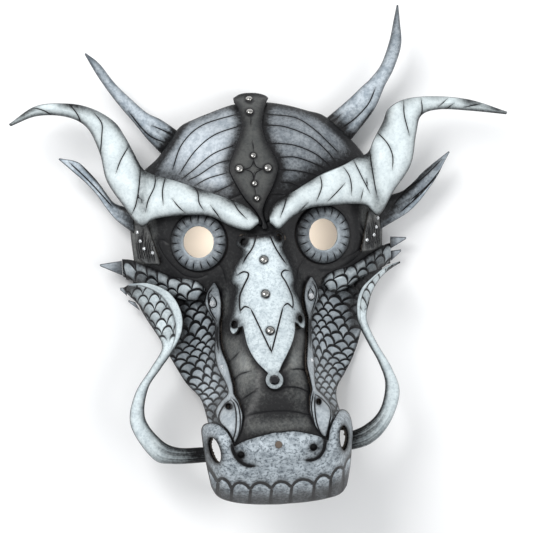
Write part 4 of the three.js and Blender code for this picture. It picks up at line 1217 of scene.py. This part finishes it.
STRAP_HOLES = {"left": (-29, -100.3), "right": (25, -100.5)}
STRAP_LINES = {
    "left": [
        [(-32.1, -29), (-34.6, -32), (-35, -37), (-33.8, -43), (-31, -48.5)],
        [(-32.5, -33.2), (-34.2, -35.9), (-34.3, -39.1), (-32.5, -40.6), (-30.4, -39.3), (-30.6, -36.2),
         (-32.5, -33.2)],
        [(-27.7, -96.5), (-31.5, -100.2), (-35, -105.8), (-34.9, -109.8), (-31.6, -114.6), (-29.6, -121.8)],
        [(-29.6, -121.8), (-26.8, -114.8), (-25.6, -105.4), (-26, -99.2), (-27.7, -96.5)],
        [(-26.6, -95.4), (-23.9, -100), (-23.5, -109.9), (-25.6, -120)]],
    "right": [
        [(30.4, -29), (32.2, -33), (32, -38), (30.2, -43), (28, -47.5)],
        [(28.6, -32.2), (30.2, -35), (30.4, -38), (28.6, -39.8), (26.8, -38.3), (27, -35.2), (28.6, -32.2)],
        [(23.1, -96), (28.5, -100.3), (32.2, -106), (30.2, -113.5), (26.9, -123.5)],
        [(26.9, -123.5), (24.2, -119.4), (22.2, -111.5), (22, -103.2), (23.1, -96)],
        [(22, -95.4), (20, -103), (20.6, -112), (22.4, -119.6)]],
}


class MESH_OT_dragon_side_straps(MaskOperator, bpy.types.Operator):
    """Adds the straps along the muzzle's sides"""
    bl_idname = "mesh.dragon_side_straps"
    bl_label = "Side straps"

    def make(self):
        silver = leather("Silver strap leather", "silver", (1, 1, 1), 1.2, speckle=0.4, sponged=0.5,
                         line=0.95, border=0.45, fade=1.4)
        snout = snout_loop()
        for name, side in SIDES:
            loop = kept_clear(strap_loop(name, side), snout, GAP + 0.1)
            spine = [(side * STRAP_X[name](y), y) for y in (-52, -60, -68)]

            def shade(x, y, edge):
                return (0.1 + 0.45 * fading(y + 56, 10) + 0.3 * smoothstep(y, -40, -26)
                        + 0.3 * fading(math.hypot(x - STRAP_HOLES[name][0], y - STRAP_HOLES[name][1]), 3)
                        + 0.25 * fading(edge, 1.2) + 0.2 * smoothstep(-y, 112, 122))

            hole = ring(*STRAP_HOLES[name], 1.6)[::-1]
            bm = sheet([loop, hole], GAP, LEATHER, lines=lines_of([spine, *STRAP_LINES[name]]),
                       pitch=(0.45, 0.7), groove=0.4, shade=shade)
            finish_piece(bm, f"side_strap_{name}", silver)


CHEEK_EDGE = {
    "right": [(41, -112), (42.5, -98), (50, -88), (57, -77), (62, -64), (64.4, -52), (66.4, -43.6), (71, -33),
              (78, -25)],
    "left": [(41, -112), (42.5, -98), (50, -88), (57, -75), (64.5, -60), (69, -52), (74.2, -42.8), (79, -32)],
}
CHEEK_ROWS = profile([(-130, 0), (-110, 6.4), (-85, 13.4), (-60, 19.6), (-35, 25.4), (-10, 31)])
CHEEK_COLUMN = profile([(-120, 3.4), (-100, 4.2), (-75, 5), (-50, 5.4), (-20, 5.6)])


class MESH_OT_dragon_cheeks(MaskOperator, bpy.types.Operator):
    """Adds the scaled cheek panels"""
    bl_idname = "mesh.dragon_cheeks"
    bl_label = "Cheeks"

    def make(self):
        scaled = leather("Scaled cheek leather", "silver", (1, 1.01, 1.02), 1.15, speckle=0.35, sponged=0.5,
                         border=0.3, fade=3.0, scaly=True, arc=0.23)
        for name, side in SIDES:
            outer = CHEEK_EDGE[name]
            runs = [[(STRAP_X[name](y) - 5, y) for y in range(-30, -119, -11)], [(24, -119), (41, -119)],
                    outer, [(80, -18), (60, -20), (44, -23), (26, -28)]]
            loop = outline(mirrored(runs, side))
            rim = Lines(lines_of(mirrored([outer[2:], [outer[-1], (80, -18)]], side)))
            strap = Lines([strap_loop(name, side)], closed=True)
            leaf = Lines([curve([(side * s[0], s[1]) for s in WHISKER[name][6:]])])
            roll = Lines([curve([(side * s[3], s[4]) for s in cheekbone(name)])])

            def scales(x, y):
                out = side * x - STRAP_X[name](y)
                wander = noise.noise((x / 12, y / 12, 5.2))
                column = math.copysign(math.log(1 + 0.035 * abs(out)) / 0.035, out)
                return (column / CHEEK_COLUMN(y) + 0.35 * wander,
                        CHEEK_ROWS(y) + 0.05 * out + 0.7 * noise.noise((x / 15, y / 15, 1.7)))

            def shade(x, y, edge):
                # painted shadow beside the strap, under the whisker's leaf and under the cheekbone; darker
                # towards the bottom
                return (0.02 + 0.42 * fading(strap.near(x, y), 3.4) + 0.3 * smoothstep(-y, 92, 118)
                        + 0.75 * fading(leaf.near(x, y), 5) + 0.5 * fading(roll.near(x, y), 4))

            bm = sheet([loop], -2 * LEATHER - GAP, -LEATHER - GAP, pitch=(0.7, 0.85), scales=scales,
                       shade=shade, rim=rim.on)
            finish_piece(bm, f"cheek_{name}", scaled)


CHEEKBONE_END = {"left": 86, "right": 84}
CHEEKBONE = [
    (80, -8, 16, 79.5, -21.5, 13, 6, 6), (72.5, -11.8, 24, 71, -25, 19, 7, 10),
    (65, -15.6, 30, 62, -28.5, 25, 7, 12), (56, -20, 36, 53.5, -33.4, 31, 6.5, 12),
    (47, -21.6, 41, 45, -36, 37, 6, 12), (41, -24, 44, 40.4, -34.6, 42, 4.5, 10),
    (37, -27.4, 46, 37, -30.6, 46, 0.5, 6)]


def cheekbone(name):
    end = CHEEKBONE_END[name]
    return [(end, -7, 11, end, -18, 9, 3.5, 2), *CHEEKBONE]


class MESH_OT_dragon_cheekbones(MaskOperator, bpy.types.Operator):
    """Adds the scaled rolls under the eyes"""
    bl_idname = "mesh.dragon_cheekbones"
    bl_label = "Cheekbones"

    def make(self):
        scaled = leather("Scaled cheekbone leather", "silver", (1, 1.01, 1), 1.25, speckle=0.3, sponged=0.5,
                         border=0.3, fade=2.0, scaly=True, arc=0.15, under=0.3)
        for name, side in SIDES:
            def scales(x, y):
                along, across = side * x * 0.92 - y * 0.38, side * x * 0.38 + y * 0.92
                wander = noise.noise((x / 16, y / 16, 2.2))
                return along / 8.6 + 0.4 * wander, across / 6.4 + 0.5 * noise.noise((x / 14, y / 14, 8.1))

            def shade(x, y, t, s, edge):
                upper = 0.62 * fading(t, 0.22) + 0.3 * smoothstep(t, 0.75, 1)
                return 0.06 + upper + 0.28 * smoothstep(4.2 - s, 0, 3) + 0.4 * smoothstep(s, 5.6, 7)

            bm = limb(cheekbone(name), side, 130, 72, ground=over_face, scales=scales, shade=shade)
            finish_piece(bm, f"cheekbone_{name}", scaled)


class MESH_OT_dragon_temples(MaskOperator, bpy.types.Operator):
    """Adds the wedges with hair lines beside the eyes"""
    bl_idname = "mesh.dragon_temples"
    bl_label = "Temples"

    def make(self):
        hair_count = 9
        wedge = [[(69.5, 14), (77.2, 14)], [(77.4, 2), (76.6, -7)], [(72, -11), (63, -12)],
                 [(66, 0), (69.5, 14)]]
        dark = leather("Dark temple leather", "charcoal", (1, 1, 1), 3.4, speckle=0.35, sponged=0.7, line=0.6,
                       border=0.05, fade=2)
        for name, side in SIDES:
            hairs = []
            for k in range(hair_count):
                x = 66.5 + 1.35 * k
                bend = 1.6 * noise.noise((k * 3.7, side, 0.3))
                hairs.append([(side * x, 10 - 2.2 * abs(k - 4) + bend),
                              (side * (x + 0.9 + bend * 0.3), 0 + bend), (side * (x - 0.4), -9 + bend)])
            bm = sheet([outline(mirrored(wedge, side))], GAP, LEATHER - TUCK, lines=lines_of(hairs),
                       pitch=(0.5, 0.7), groove=0.35,
                       shade=lambda x, y, edge: 0.3 + 0.3 * noise.noise((x / 2, y / 14, 0)))
            finish_piece(bm, f"temple_{name}", dark)


BROW_LINES = {
    "left": [
        [(-78.3, 62.6), (-83.8, 54.2), (-87, 46.9)], [(-71.7, 47.9), (-73.8, 35), (-76.2, 25.8), (-78.6, 21)],
        [(-62.7, 43), (-64.1, 36.2), (-68.3, 28.4), (-70.2, 22)],
        [(-56.5, 42.6), (-59.2, 34.1), (-59.5, 25.4)], [(-53.4, 27.5), (-50.3, 23), (-46.8, 19.3)],
        [(-41.9, 37.4), (-38.2, 31.6), (-37.7, 24.7), (-35.2, 19.9)], [(-30.4, 21.8), (-25.3, 14)],
        [(-16.9, 24.1), (-14.1, 18.3), (-9.8, 13.1)], [(-136.1, 90.1), (-129.4, 87.9), (-122.3, 83.1)],
        [(-113.2, 90.7), (-108.6, 83.9), (-106, 76)],
        [(-98.1, 84.2), (-94.1, 77.8), (-94.6, 69.7), (-96.1, 59)],
        [(-73.8, 30.6), (-72.6, 27.8)], [(-73.3, 30.9), (-72.1, 28.1)]],
    "right": [
        [(95.5, 80.4), (95.2, 71.7), (97.6, 59.7)], [(106.5, 81.6), (106.7, 74.1), (104.5, 68.6)],
        [(122.8, 80.7), (117.6, 76.6)], [(126.4, 77.4), (121.5, 74.2)], [(133.8, 75.1), (143.4, 76.4)],
        [(77.7, 62.7), (83.5, 54.9), (86.2, 47.2), (85.7, 39.1)],
        [(72.6, 51.2), (72.7, 41.8), (73.8, 29.2), (74.7, 22.9)],
        [(61.6, 44.9), (64.3, 37.9), (68.1, 28.9), (69.8, 25.1)],
        [(54.5, 41.3), (57.3, 35.8), (58.1, 29.5), (57.8, 24.6)], [(53.5, 31.1), (47.9, 25.8), (42.6, 21.1)],
        [(38.6, 37), (38.8, 30.1), (35.1, 21.6)], [(28.8, 20.1), (24.1, 16)],
        [(16.6, 25.2), (14.3, 19.1), (11.5, 13)], [(65.5, 26.6), (63.9, 20.5)], [(68.3, 32.8), (68.4, 29.8)],
        [(68.9, 32.8), (69, 29.8)]],
}
OVER_RING = 4.6                      # how far over the socket a brow clears an eye ring


def over_rings(x, y):
    """The lowest that a brow may reach: over the face, and over an eye ring where it crosses one."""
    low = over_face(x, y)
    r = math.hypot(abs(x) - EYE["x"], y - EYE["y"])
    if r < EYE["rim"] + 1:
        low = max(low, EYE["z"] - EYE["slope"] * (abs(x) - EYE["x"]) + OVER_RING)
    return low


class MESH_OT_dragon_brows(MaskOperator, bpy.types.Operator):
    """Adds the twisted brows that run out into horns"""
    bl_idname = "mesh.dragon_brows"
    bl_label = "Brow horns"

    def make(self):
        white = leather("White brow leather", "white", (0.97, 1, 1), 1.04, speckle=0.2, sponged=0.22,
                        line=0.75, border=0.1, fade=1.0)

        def shade(x, y, t, s, edge):
            patchy = 0.65 + 0.9 * noise.noise((x / 13, y / 13, 4.4))
            upper = (0.62 * fading(edge, 3.2) + 0.2 * fading(edge, 8)) * patchy if t < 0.5 else 0
            # painted shade along the lower edge, where the brow overhangs the eye
            lower = 0.5 * fading(edge, 1.6) + 0.16 * fading(edge, 5) if t >= 0.5 else 0
            inner = 0.3 * smoothstep(2 - s, 0, 2) * smoothstep(0.6 - t, 0, 0.5)
            rolled = 0.3 * fading(s - 7, 0.5) + 0.2 * smoothstep(s, 12.5, 14)
            return 0.02 + upper + lower + inner + rolled * patchy

        for name, side in SIDES:
            bm = limb(BROW_HORN[name], side, 320, 72, lines=lines_of(BROW_LINES[name]), groove=0.5,
                      valley=0.8, ground=over_rings, roughen=0.9, shade=shade)
            finish_piece(bm, f"brow_horn_{name}", white)


HORN = {
    "right": [
        (44, 71, 12, 58, 54, 12, 4, 2), (61.5, 84, 14, 72.5, 70, 14, 4.5, 2),
        (70.5, 91.6, 16, 79.8, 79.4, 16, 4, 2), (77.8, 97.8, 18, 86, 92, 18, 3.6, 2),
        (84.4, 106, 21, 92, 102.4, 21, 3.2, 2), (89.8, 119.5, 25, 97.2, 117, 25, 2.8, 1.6),
        (92.8, 132, 29, 96.8, 131.6, 29, 1.6, 1), (95, 141.6, 33, 96, 141.4, 33, 0.1, 0.1)],
    "left": [
        (43, 69, 12, 54, 54, 12, 4, 2), (56, 79, 14, 65, 66.5, 14, 4.5, 2), (65, 84, 16, 73, 77.5, 16, 4, 2),
        (75, 93.5, 19, 80.8, 87.4, 19, 3.4, 2), (84.2, 103.4, 22, 88.6, 98.4, 22, 3, 2),
        (93, 115.7, 26, 95.8, 110, 26, 2.2, 1.4), (101.3, 122.7, 30, 102, 121.8, 30, 0.1, 0.1)],
}
HORN_START = {"left": (0.27, 0.3), "right": (0.24, 0.3)}
HORN_LINES = {
    "left": [[(-76.2, 84.6), (-65.2, 70.2), (-54.8, 64.5)], [(-61.7, 75.3), (-49.5, 69.2)]],
    "right": [[(79.6, 90.7), (74.5, 80.9), (65.1, 72), (56.5, 66.8)], [(77.5, 77.6), (69.3, 67.3)],
              [(57.1, 75.6), (51, 70.3)]],
}
EAR = {
    "right": [
        (77.9, 22, 18.5, 77.8, 2, 17.5, 2.5, 0), (91, 24.5, 15, 95, 10.8, 14, 3, 0),
        (98.8, 28, 16, 103, 17.5, 16, 3, 0), (104.8, 34.6, 17, 109.5, 25, 17, 2.8, 0),
        (112, 40.4, 19, 115.6, 33, 19, 2.2, 0), (118.6, 45, 20, 120.4, 41.4, 20, 1.4, 0),
        (123.4, 48.4, 22, 124.1, 47.8, 22, 0.1, 0)],
    "left": [
        (77.9, 24, 18.5, 77.8, 8.5, 17.5, 2.5, 0), (88, 28, 15, 88, 17.5, 14, 3, 0),
        (92.4, 33, 16, 93.8, 25, 16, 3, 0), (97, 40.4, 17, 99.5, 34, 17, 2.8, 0),
        (103, 48.2, 18, 106, 42, 18, 2.4, 0), (110.4, 55.4, 20, 113.6, 49.4, 20, 1.8, 0),
        (121.6, 58.4, 22, 122.1, 57.6, 22, 0.1, 0)],
}
EAR_LINES = {
    "left": [[(-115.1, 54.9), (-103.3, 42.3), (-90.4, 26.4)], [(-107.7, 52.6), (-98.3, 42), (-91.3, 32.1)]],
    "right": [[(118.3, 43), (107.5, 33.5), (94.2, 24.1), (86, 15.8)],
              [(120, 39.7), (109.7, 28.3), (97.7, 18.9)], [(115.1, 33), (104.2, 22.3), (90.8, 11.7)]],
}


class MESH_OT_dragon_horns(MaskOperator, bpy.types.Operator):
    """Adds the upper horns and the ears"""
    bl_idname = "mesh.dragon_horns"
    bl_label = "Horns and ears"

    def make(self):
        mottled = leather("Mottled horn leather", "silver", (1, 1.02, 1.05), 1.45, speckle=0.5, sponged=0.75,
                          line=0.85, border=0.1, fade=1.2)
        for name, side in SIDES:
            def horn_shade(x, y, t, s, edge):
                root = s - mix(*HORN_START[name], t)
                streaks = 0.5 + 0.8 * noise.noise((t * 9, s / 2, side))
                foot = 0.75 * fading(root, 0.22) + 0.5 * fading(root, 0.9) * streaks
                return 0.08 + foot + 0.3 * fading(edge, 1.8) + 0.2 * smoothstep(s, 3, 6)

            def ear_shade(x, y, t, s, edge):
                streaks = 0.5 + 0.8 * noise.noise((t * 9, s / 2, 3 + side))
                grey = 0.02 if side < 0 else 0.34 * (1 - smoothstep(t, 0.6, 0.9))
                return (grey + 0.6 * fading(s, 0.7) + 0.35 * streaks * smoothstep(3 - s, 0, 3)
                        + 0.45 * fading(t - 0.1, 0.14) * smoothstep(5.5 - s, 0, 2))

            bm = limb(HORN[name], side, 130, 44, start=HORN_START[name], lines=lines_of(HORN_LINES[name]),
                      roughen=0.5, shade=horn_shade)
            finish_piece(bm, f"horn_{name}", mottled)
            bm = limb(EAR[name], side, 110, 44, lines=lines_of(EAR_LINES[name]), roughen=0.5,
                      ground=over_face, shade=ear_shade)
            finish_piece(bm, f"ear_{name}", mottled)


WHISKER = {
    "right": [
        (42, -125, 40, 41.6, -135.6, 40, 3, 2), (57, -119.8, 45, 60, -131.6, 44, 4.5, 4.5),
        (67.5, -110.4, 46, 73, -119.6, 45, 5, 5), (72.5, -95, 40, 81.2, -101, 39, 4.5, 4.5),
        (69.5, -81.5, 37, 77.6, -85.4, 36, 4, 4), (63.6, -69, 37, 69.4, -69.6, 37, 3.2, 3.2),
        (58, -56, 40, 63.6, -54.4, 39, 3.2, 3), (57.2, -44.7, 44, 66.4, -43.5, 32, 3, 1.5),
        (60.5, -34.8, 46, 70, -35.6, 28, 3, 0.5), (68.5, -27.6, 43, 75.6, -28.2, 26, 2.6, 0.5),
        (78, -21.6, 38, 82, -23.2, 28, 2, 0.5), (87, -19, 34, 87.4, -20, 33, 0.1, 0.1)],
    "left": [
        (42, -127, 40, 41.6, -136.5, 40, 3, 2), (59, -126, 45, 63, -136, 44, 4.5, 4.5),
        (69.5, -120.4, 46, 75.6, -131.6, 45, 5, 5), (78.4, -106.5, 40, 87.6, -111, 39, 4.5, 4.5),
        (75.5, -89, 37, 84, -92, 36, 4, 4), (67, -77, 37, 73, -76, 37, 3.2, 3.2),
        (58.6, -66, 41, 65.4, -64.4, 38, 3.2, 3), (52.6, -54, 45, 67, -55.8, 26, 3, 1.5),
        (52.4, -42, 47, 71.6, -46.6, 17, 3, 0.5), (58.6, -30, 46, 77.6, -36.4, 14, 2.6, 0.5),
        (70.5, -23.4, 41, 84, -29.4, 18, 2, 0.5), (82.5, -22.6, 34, 87, -25.4, 24, 0.6, 0.3)],
}
WHISKER_START = {"left": (0.0, 0.0), "right": (0.24, 0.2)}
LEAF_FROM = 6.4                      # the station from which a whisker opens into its leaf


class MESH_OT_dragon_whiskers(MaskOperator, bpy.types.Operator):
    """Adds the whiskers that sweep round and open into scaled leaves"""
    bl_idname = "mesh.dragon_whiskers"
    bl_label = "Whiskers"

    def make(self):
        pale = leather("Pale whisker leather", "white", (0.96, 1, 1.01), 1.0, speckle=0.35, sponged=0.35,
                       line=0.8, border=0.1, fade=1.0, scaly=True, arc=0.13, under=0.2)

        def shade(x, y, t, s, edge):
            strands = 0.5 + 0.9 * noise.noise((t * 16, s / 5, 0))
            root = smoothstep(2.8 - s, 0, 2.6) * (0.15 + 0.75 * strands) + 0.4 * fading(s - 0.25, 0.3)
            tube = 1 - smoothstep(s, LEAF_FROM - 0.6, LEAF_FROM)
            inner = (0.4 * fading(t, 0.16) + 0.15 * fading(t, 0.4)) * tube
            # painted shade in the leaf's hollow and in the fold inside its rolled rim; darker towards the
            # leaf's outer edge
            hollow = 0.8 * smoothstep(s, 9.4, 10.6) * smoothstep(t, 0.3, 0.45)
            fold = 0.5 * fading(t - 0.27, 0.03) * (1 - tube) + 0.35 * smoothstep(t, 0.75, 1) * (1 - tube)
            return 0.03 + root + inner + hollow + fold + 0.25 * fading(edge, 1.2)

        def scaly(t, s, up):
            return smoothstep(s, LEAF_FROM, LEAF_FROM + 0.5) * smoothstep(t, 0.25, 0.28) if up > 0 else 0

        def scales(x, y):
            return abs(x) / 6.8, (y + 0.3 * abs(x)) / 6 + 0.5 * noise.noise((x / 12, y / 12, 6.6))

        for name, side in SIDES:
            bm = limb(WHISKER[name], side, 330, 64, start=WHISKER_START[name], shade=shade, scaly=scaly,
                      roughen=0.5, scales=scales)
            finish_piece(bm, f"whisker_{name}", pale)


SPIKES = {
    "right": [((84.4, -3, 11), (84.4, -10.6, 10), (94.1, -4.6, 14)),
              ((84.4, -12, 9), (84.4, -18.4, 8), (90.6, -12.2, 12))],
    "left": [((86.3, -8, 11), (86.3, -17.4, 9), (100.2, -10, 14)),
             ((84.6, -24.7, 9), (84.2, -30.5, 8), (88.4, -25.6, 10)),
             ((79.2, -34.7, 8), (76.6, -40.2, 8), (83.6, -33.6, 9))],
}


class MESH_OT_dragon_spikes(MaskOperator, bpy.types.Operator):
    """Adds the spikes at the cheekbones' ends"""
    bl_idname = "mesh.dragon_spikes"
    bl_label = "Cheek spikes"

    def make(self):
        silver = leather("Silver spike leather", "silver", (1, 1, 1.02), 1.1, speckle=0.3, sponged=0.6,
                         border=0.1, fade=1.2)
        for name, side in SIDES:
            for i, (root_a, root_b, tip) in enumerate(SPIKES[name]):
                point = (tip[0], tip[1] + 0.6, tip[2], tip[0], tip[1] - 0.6, tip[2], 0, 0)
                bm = limb([(*root_a, *root_b, 2.4, 0.6), point], side, 36, 28,
                          shade=lambda x, y, t, s, edge: 0.1 + 0.5 * fading(s, 0.35))
                finish_piece(bm, f"cheek_spike_{name}_{i + 1}", silver)


# x, y and radius
CREST_STUDS = [(-0.4, 88.4, 2.2), (-1.2, 79.8, 2.2), (-1.9, 51.8, 1.7), (-11.2, 44, 2.4), (6.4, 43.4, 2.4),
               (-2.6, 34.4, 1.7), (-1.8, 25, 1.7)]
NOSE_STUDS = [(-0.4, -13, 2.3), (-1.6, -34, 2.3), (-1, -56.3, 2.3)]
CLEAR = 0.06                         # air under a stud or a gem


def stud(radius, height):
    """A round rivet head."""
    flank = [(1, 0.12), (1, 0.3), (0.96, 0.5), (0.86, 0.7), (0.68, 0.86), (0.4, 0.96), (0.15, 0.995), (0, 1)]
    section = [(0, CLEAR), (radius, CLEAR)] + [(r * radius, z * height) for r, z in flank]
    return lathe(section, 32)


def cut_stone(radius, height):
    """A stone with eight sides and a flat table."""
    section = [(0, CLEAR), (radius, CLEAR), (radius, 0.3 * height), (0.8 * radius, 0.72 * height),
               (0.5 * radius, height), (0, height)]
    return lathe(section, 8)


class MESH_OT_dragon_studs(MaskOperator, bpy.types.Operator):
    """Adds the chrome studs of the crest and the nose"""
    bl_idname = "mesh.dragon_studs"
    bl_label = "Studs"

    def make(self):
        polished = chrome("Polished stud")
        for i, (x, y, r) in enumerate(CREST_STUDS):
            bm = seat(stud(r, r * 0.8), x, y, LEATHER + GAP, crest_surface)
            finish_piece(bm, f"crest_stud_{i + 1}", polished)
        for i, (x, y, r) in enumerate(NOSE_STUDS):
            finish_piece(seat(stud(r, 1.9), x, y, LEATHER), f"nose_stud_{i + 1}", polished)


LEAF_GEMS = {"left": (-32.4, -38.3), "right": (28.5, -37.2)}
STRAP_GEMS = {"left": (-29.9, -77.2), "right": (23.6, -76)}
TEMPLE_GEMS = [(75.6, 9), (74.2, 3.4), (72.2, -1.4), (67.2, -4.4)]


class MESH_OT_dragon_gems(MaskOperator, bpy.types.Operator):
    """Adds the cut stones"""
    bl_idname = "mesh.dragon_gems"
    bl_label = "Gems"

    def make(self):
        clear, black = crystal("Clear crystal"), crystal("Black crystal", (0.008, 0.008, 0.01), 0, 1.5)
        brown = crystal("Brown crystal", (0.13, 0.095, 0.07), 0.1)
        gems = [("nose_gem", NOSE_BOSS.x, NOSE_BOSS.y, 3.2, 2.4, LEATHER, black),
                ("snout_gem", -1.5, -124.5, 2.4, 2, LEATHER, brown)]
        for name, side in SIDES:
            gems += [(f"leaf_gem_{name}", *LEAF_GEMS[name], 2.1, 1.8, LEATHER, clear),
                     (f"strap_gem_{name}", *STRAP_GEMS[name], 1.4, 1.2, LEATHER, clear)]
            gems += [(f"temple_gem_{name}_{i + 1}", side * x, y, 1.2, 1, LEATHER - TUCK, clear)
                     for i, (x, y) in enumerate(TEMPLE_GEMS)]
        for name, x, y, radius, height, high, stone in gems:
            finish_piece(seat(cut_stone(radius, height), x, y, high), name, stone, smooth=False)


# Stage

CAMERA_FROM = Vector((-139.5, 0, 2045.1))
CAMERA_TILT = math.radians(4)        # from straight above, towards the mask's left
CAMERA_ROLL = math.radians(3.5)
CAMERA_SLIDE = (3.1, -17.05)         # right and up in the picture
LENS = 217.88
FLOOR_SIZE = 4
GLOW_FROM = (18, 30)                 # how far a lamp stands from the middle and over the table
GLOW_SIZE = 0.014


def soft_light(name, place, aim, size, power, colour=(1, 1, 1)):
    """A round soft light that points at a place."""
    data = bpy.data.lights.new(name, "AREA")
    data.shape, data.size, data.energy, data.color = "DISK", size, power, colour
    light = bpy.data.objects.new(name, data)
    light.location = place
    light.rotation_mode = "QUATERNION"
    light.rotation_quaternion = (Vector(aim) - Vector(place)).to_track_quat("-Z", "Y")
    bpy.context.scene.collection.objects.link(light)


class SCENE_OT_dragon_stage(MaskOperator, bpy.types.Operator):
    """Adds the pale floor, the lights and the camera"""
    bl_idname = "scene.dragon_stage"
    bl_label = "Stage"

    def make(self):
        scene = bpy.context.scene
        bm = bmesh.new()
        bmesh.ops.create_grid(bm, x_segments=1, y_segments=1, size=FLOOR_SIZE)
        mesh = bpy.data.meshes.new("Floor")
        bm.to_mesh(mesh)
        bm.free()
        floor = bpy.data.objects.new("floor", mesh)
        scene.collection.objects.link(floor)
        pale, w = new_material("Pale floor")
        w.surface({"Base Color": (0.92, 0.92, 0.92, 1), "Roughness": 0.9, "Specular IOR Level": 0.1})
        mesh.materials.append(pale)

        studio = scene.dragon_mask_studio
        soft_light("Key", (-0.75, 0.85, 1.35), (0, 0, 0), 0.9, studio.key)
        soft_light("Fill", (0.95, -0.35, 1.25), (0, 0, 0), 1.1, studio.fill)
        for name, side in SIDES:
            lamp, eye = (SHIFT + Vector((side * x, EYE["y"], z)) for x, z in (GLOW_FROM, (EYE["x"], 0)))
            soft_light(f"Glow {name}", lamp * MM, eye * MM, GLOW_SIZE, studio.glow, (1, 0.86, 0.7))
        world = bpy.data.worlds.new("Studio")
        world.use_nodes = True
        sky = world.node_tree.nodes["Background"].inputs
        sky["Color"].default_value = (0.95, 0.975, 1, 1)
        sky["Strength"].default_value = 0.62
        scene.world = world
        scene.view_settings.view_transform = "Standard"

        data = bpy.data.cameras.new("Camera")
        data.sensor_width, data.lens = 36, LENS
        data.clip_start, data.clip_end = 0.1, 20
        camera = bpy.data.objects.new("Camera", data)
        across = Vector((math.cos(CAMERA_TILT), 0, math.sin(CAMERA_TILT)))
        back = Vector((-math.sin(CAMERA_TILT), 0, math.cos(CAMERA_TILT)))
        up = Vector((0, 1, 0))
        right = across * math.cos(CAMERA_ROLL) - up * math.sin(CAMERA_ROLL)
        above = across * math.sin(CAMERA_ROLL) + up * math.cos(CAMERA_ROLL)
        place = (CAMERA_FROM + SHIFT + right * CAMERA_SLIDE[0] + above * CAMERA_SLIDE[1]) * MM
        turned = Matrix((right, above, back)).transposed().to_4x4()
        camera.matrix_world = Matrix.Translation(place) @ turned
        scene.collection.objects.link(camera)
        scene.camera = camera


# The add-on

PIECES = (MESH_OT_dragon_forehead, MESH_OT_dragon_crest, MESH_OT_dragon_face, MESH_OT_dragon_nose,
          MESH_OT_dragon_snout, MESH_OT_dragon_eyes, MESH_OT_dragon_side_straps, MESH_OT_dragon_cheeks,
          MESH_OT_dragon_cheekbones, MESH_OT_dragon_temples, MESH_OT_dragon_brows, MESH_OT_dragon_horns,
          MESH_OT_dragon_whiskers, MESH_OT_dragon_spikes, MESH_OT_dragon_studs, MESH_OT_dragon_gems)
GROUPS = (("dragon_mask_sizes", DragonMaskSizes), ("dragon_mask_colours", DragonMaskColours),
          ("dragon_mask_studio", DragonMaskStudio))


class VIEW3D_PT_dragon_mask(bpy.types.Panel):
    """Lists the mask's pieces and settings"""
    bl_label = "Dragon mask"
    bl_space_type = "VIEW_3D"
    bl_region_type = "UI"
    bl_category = "Dragon mask"

    def draw(self, context):
        column = self.layout.column(align=True)
        for operator in (SCENE_OT_dragon_stage, *PIECES):
            column.operator(operator.bl_idname)
        for name, group in GROUPS:
            box = self.layout.box()
            for setting in group.__annotations__:
                box.prop(getattr(context.scene, name), setting)


CLASSES = (*(group for _, group in GROUPS), SCENE_OT_dragon_stage, *PIECES, VIEW3D_PT_dragon_mask)


def register():
    for cls in CLASSES:
        bpy.utils.register_class(cls)
    for name, group in GROUPS:
        setattr(bpy.types.Scene, name, bpy.props.PointerProperty(type=group))


def unregister():
    for name, _ in GROUPS:
        delattr(bpy.types.Scene, name)
    for cls in reversed(CLASSES):
        bpy.utils.unregister_class(cls)


def main():
    register()
    for operator in (SCENE_OT_dragon_stage, *PIECES):
        family, name = operator.bl_idname.split(".")
        getattr(getattr(bpy.ops, family), name)()


if __name__ == "__main__":
    main()
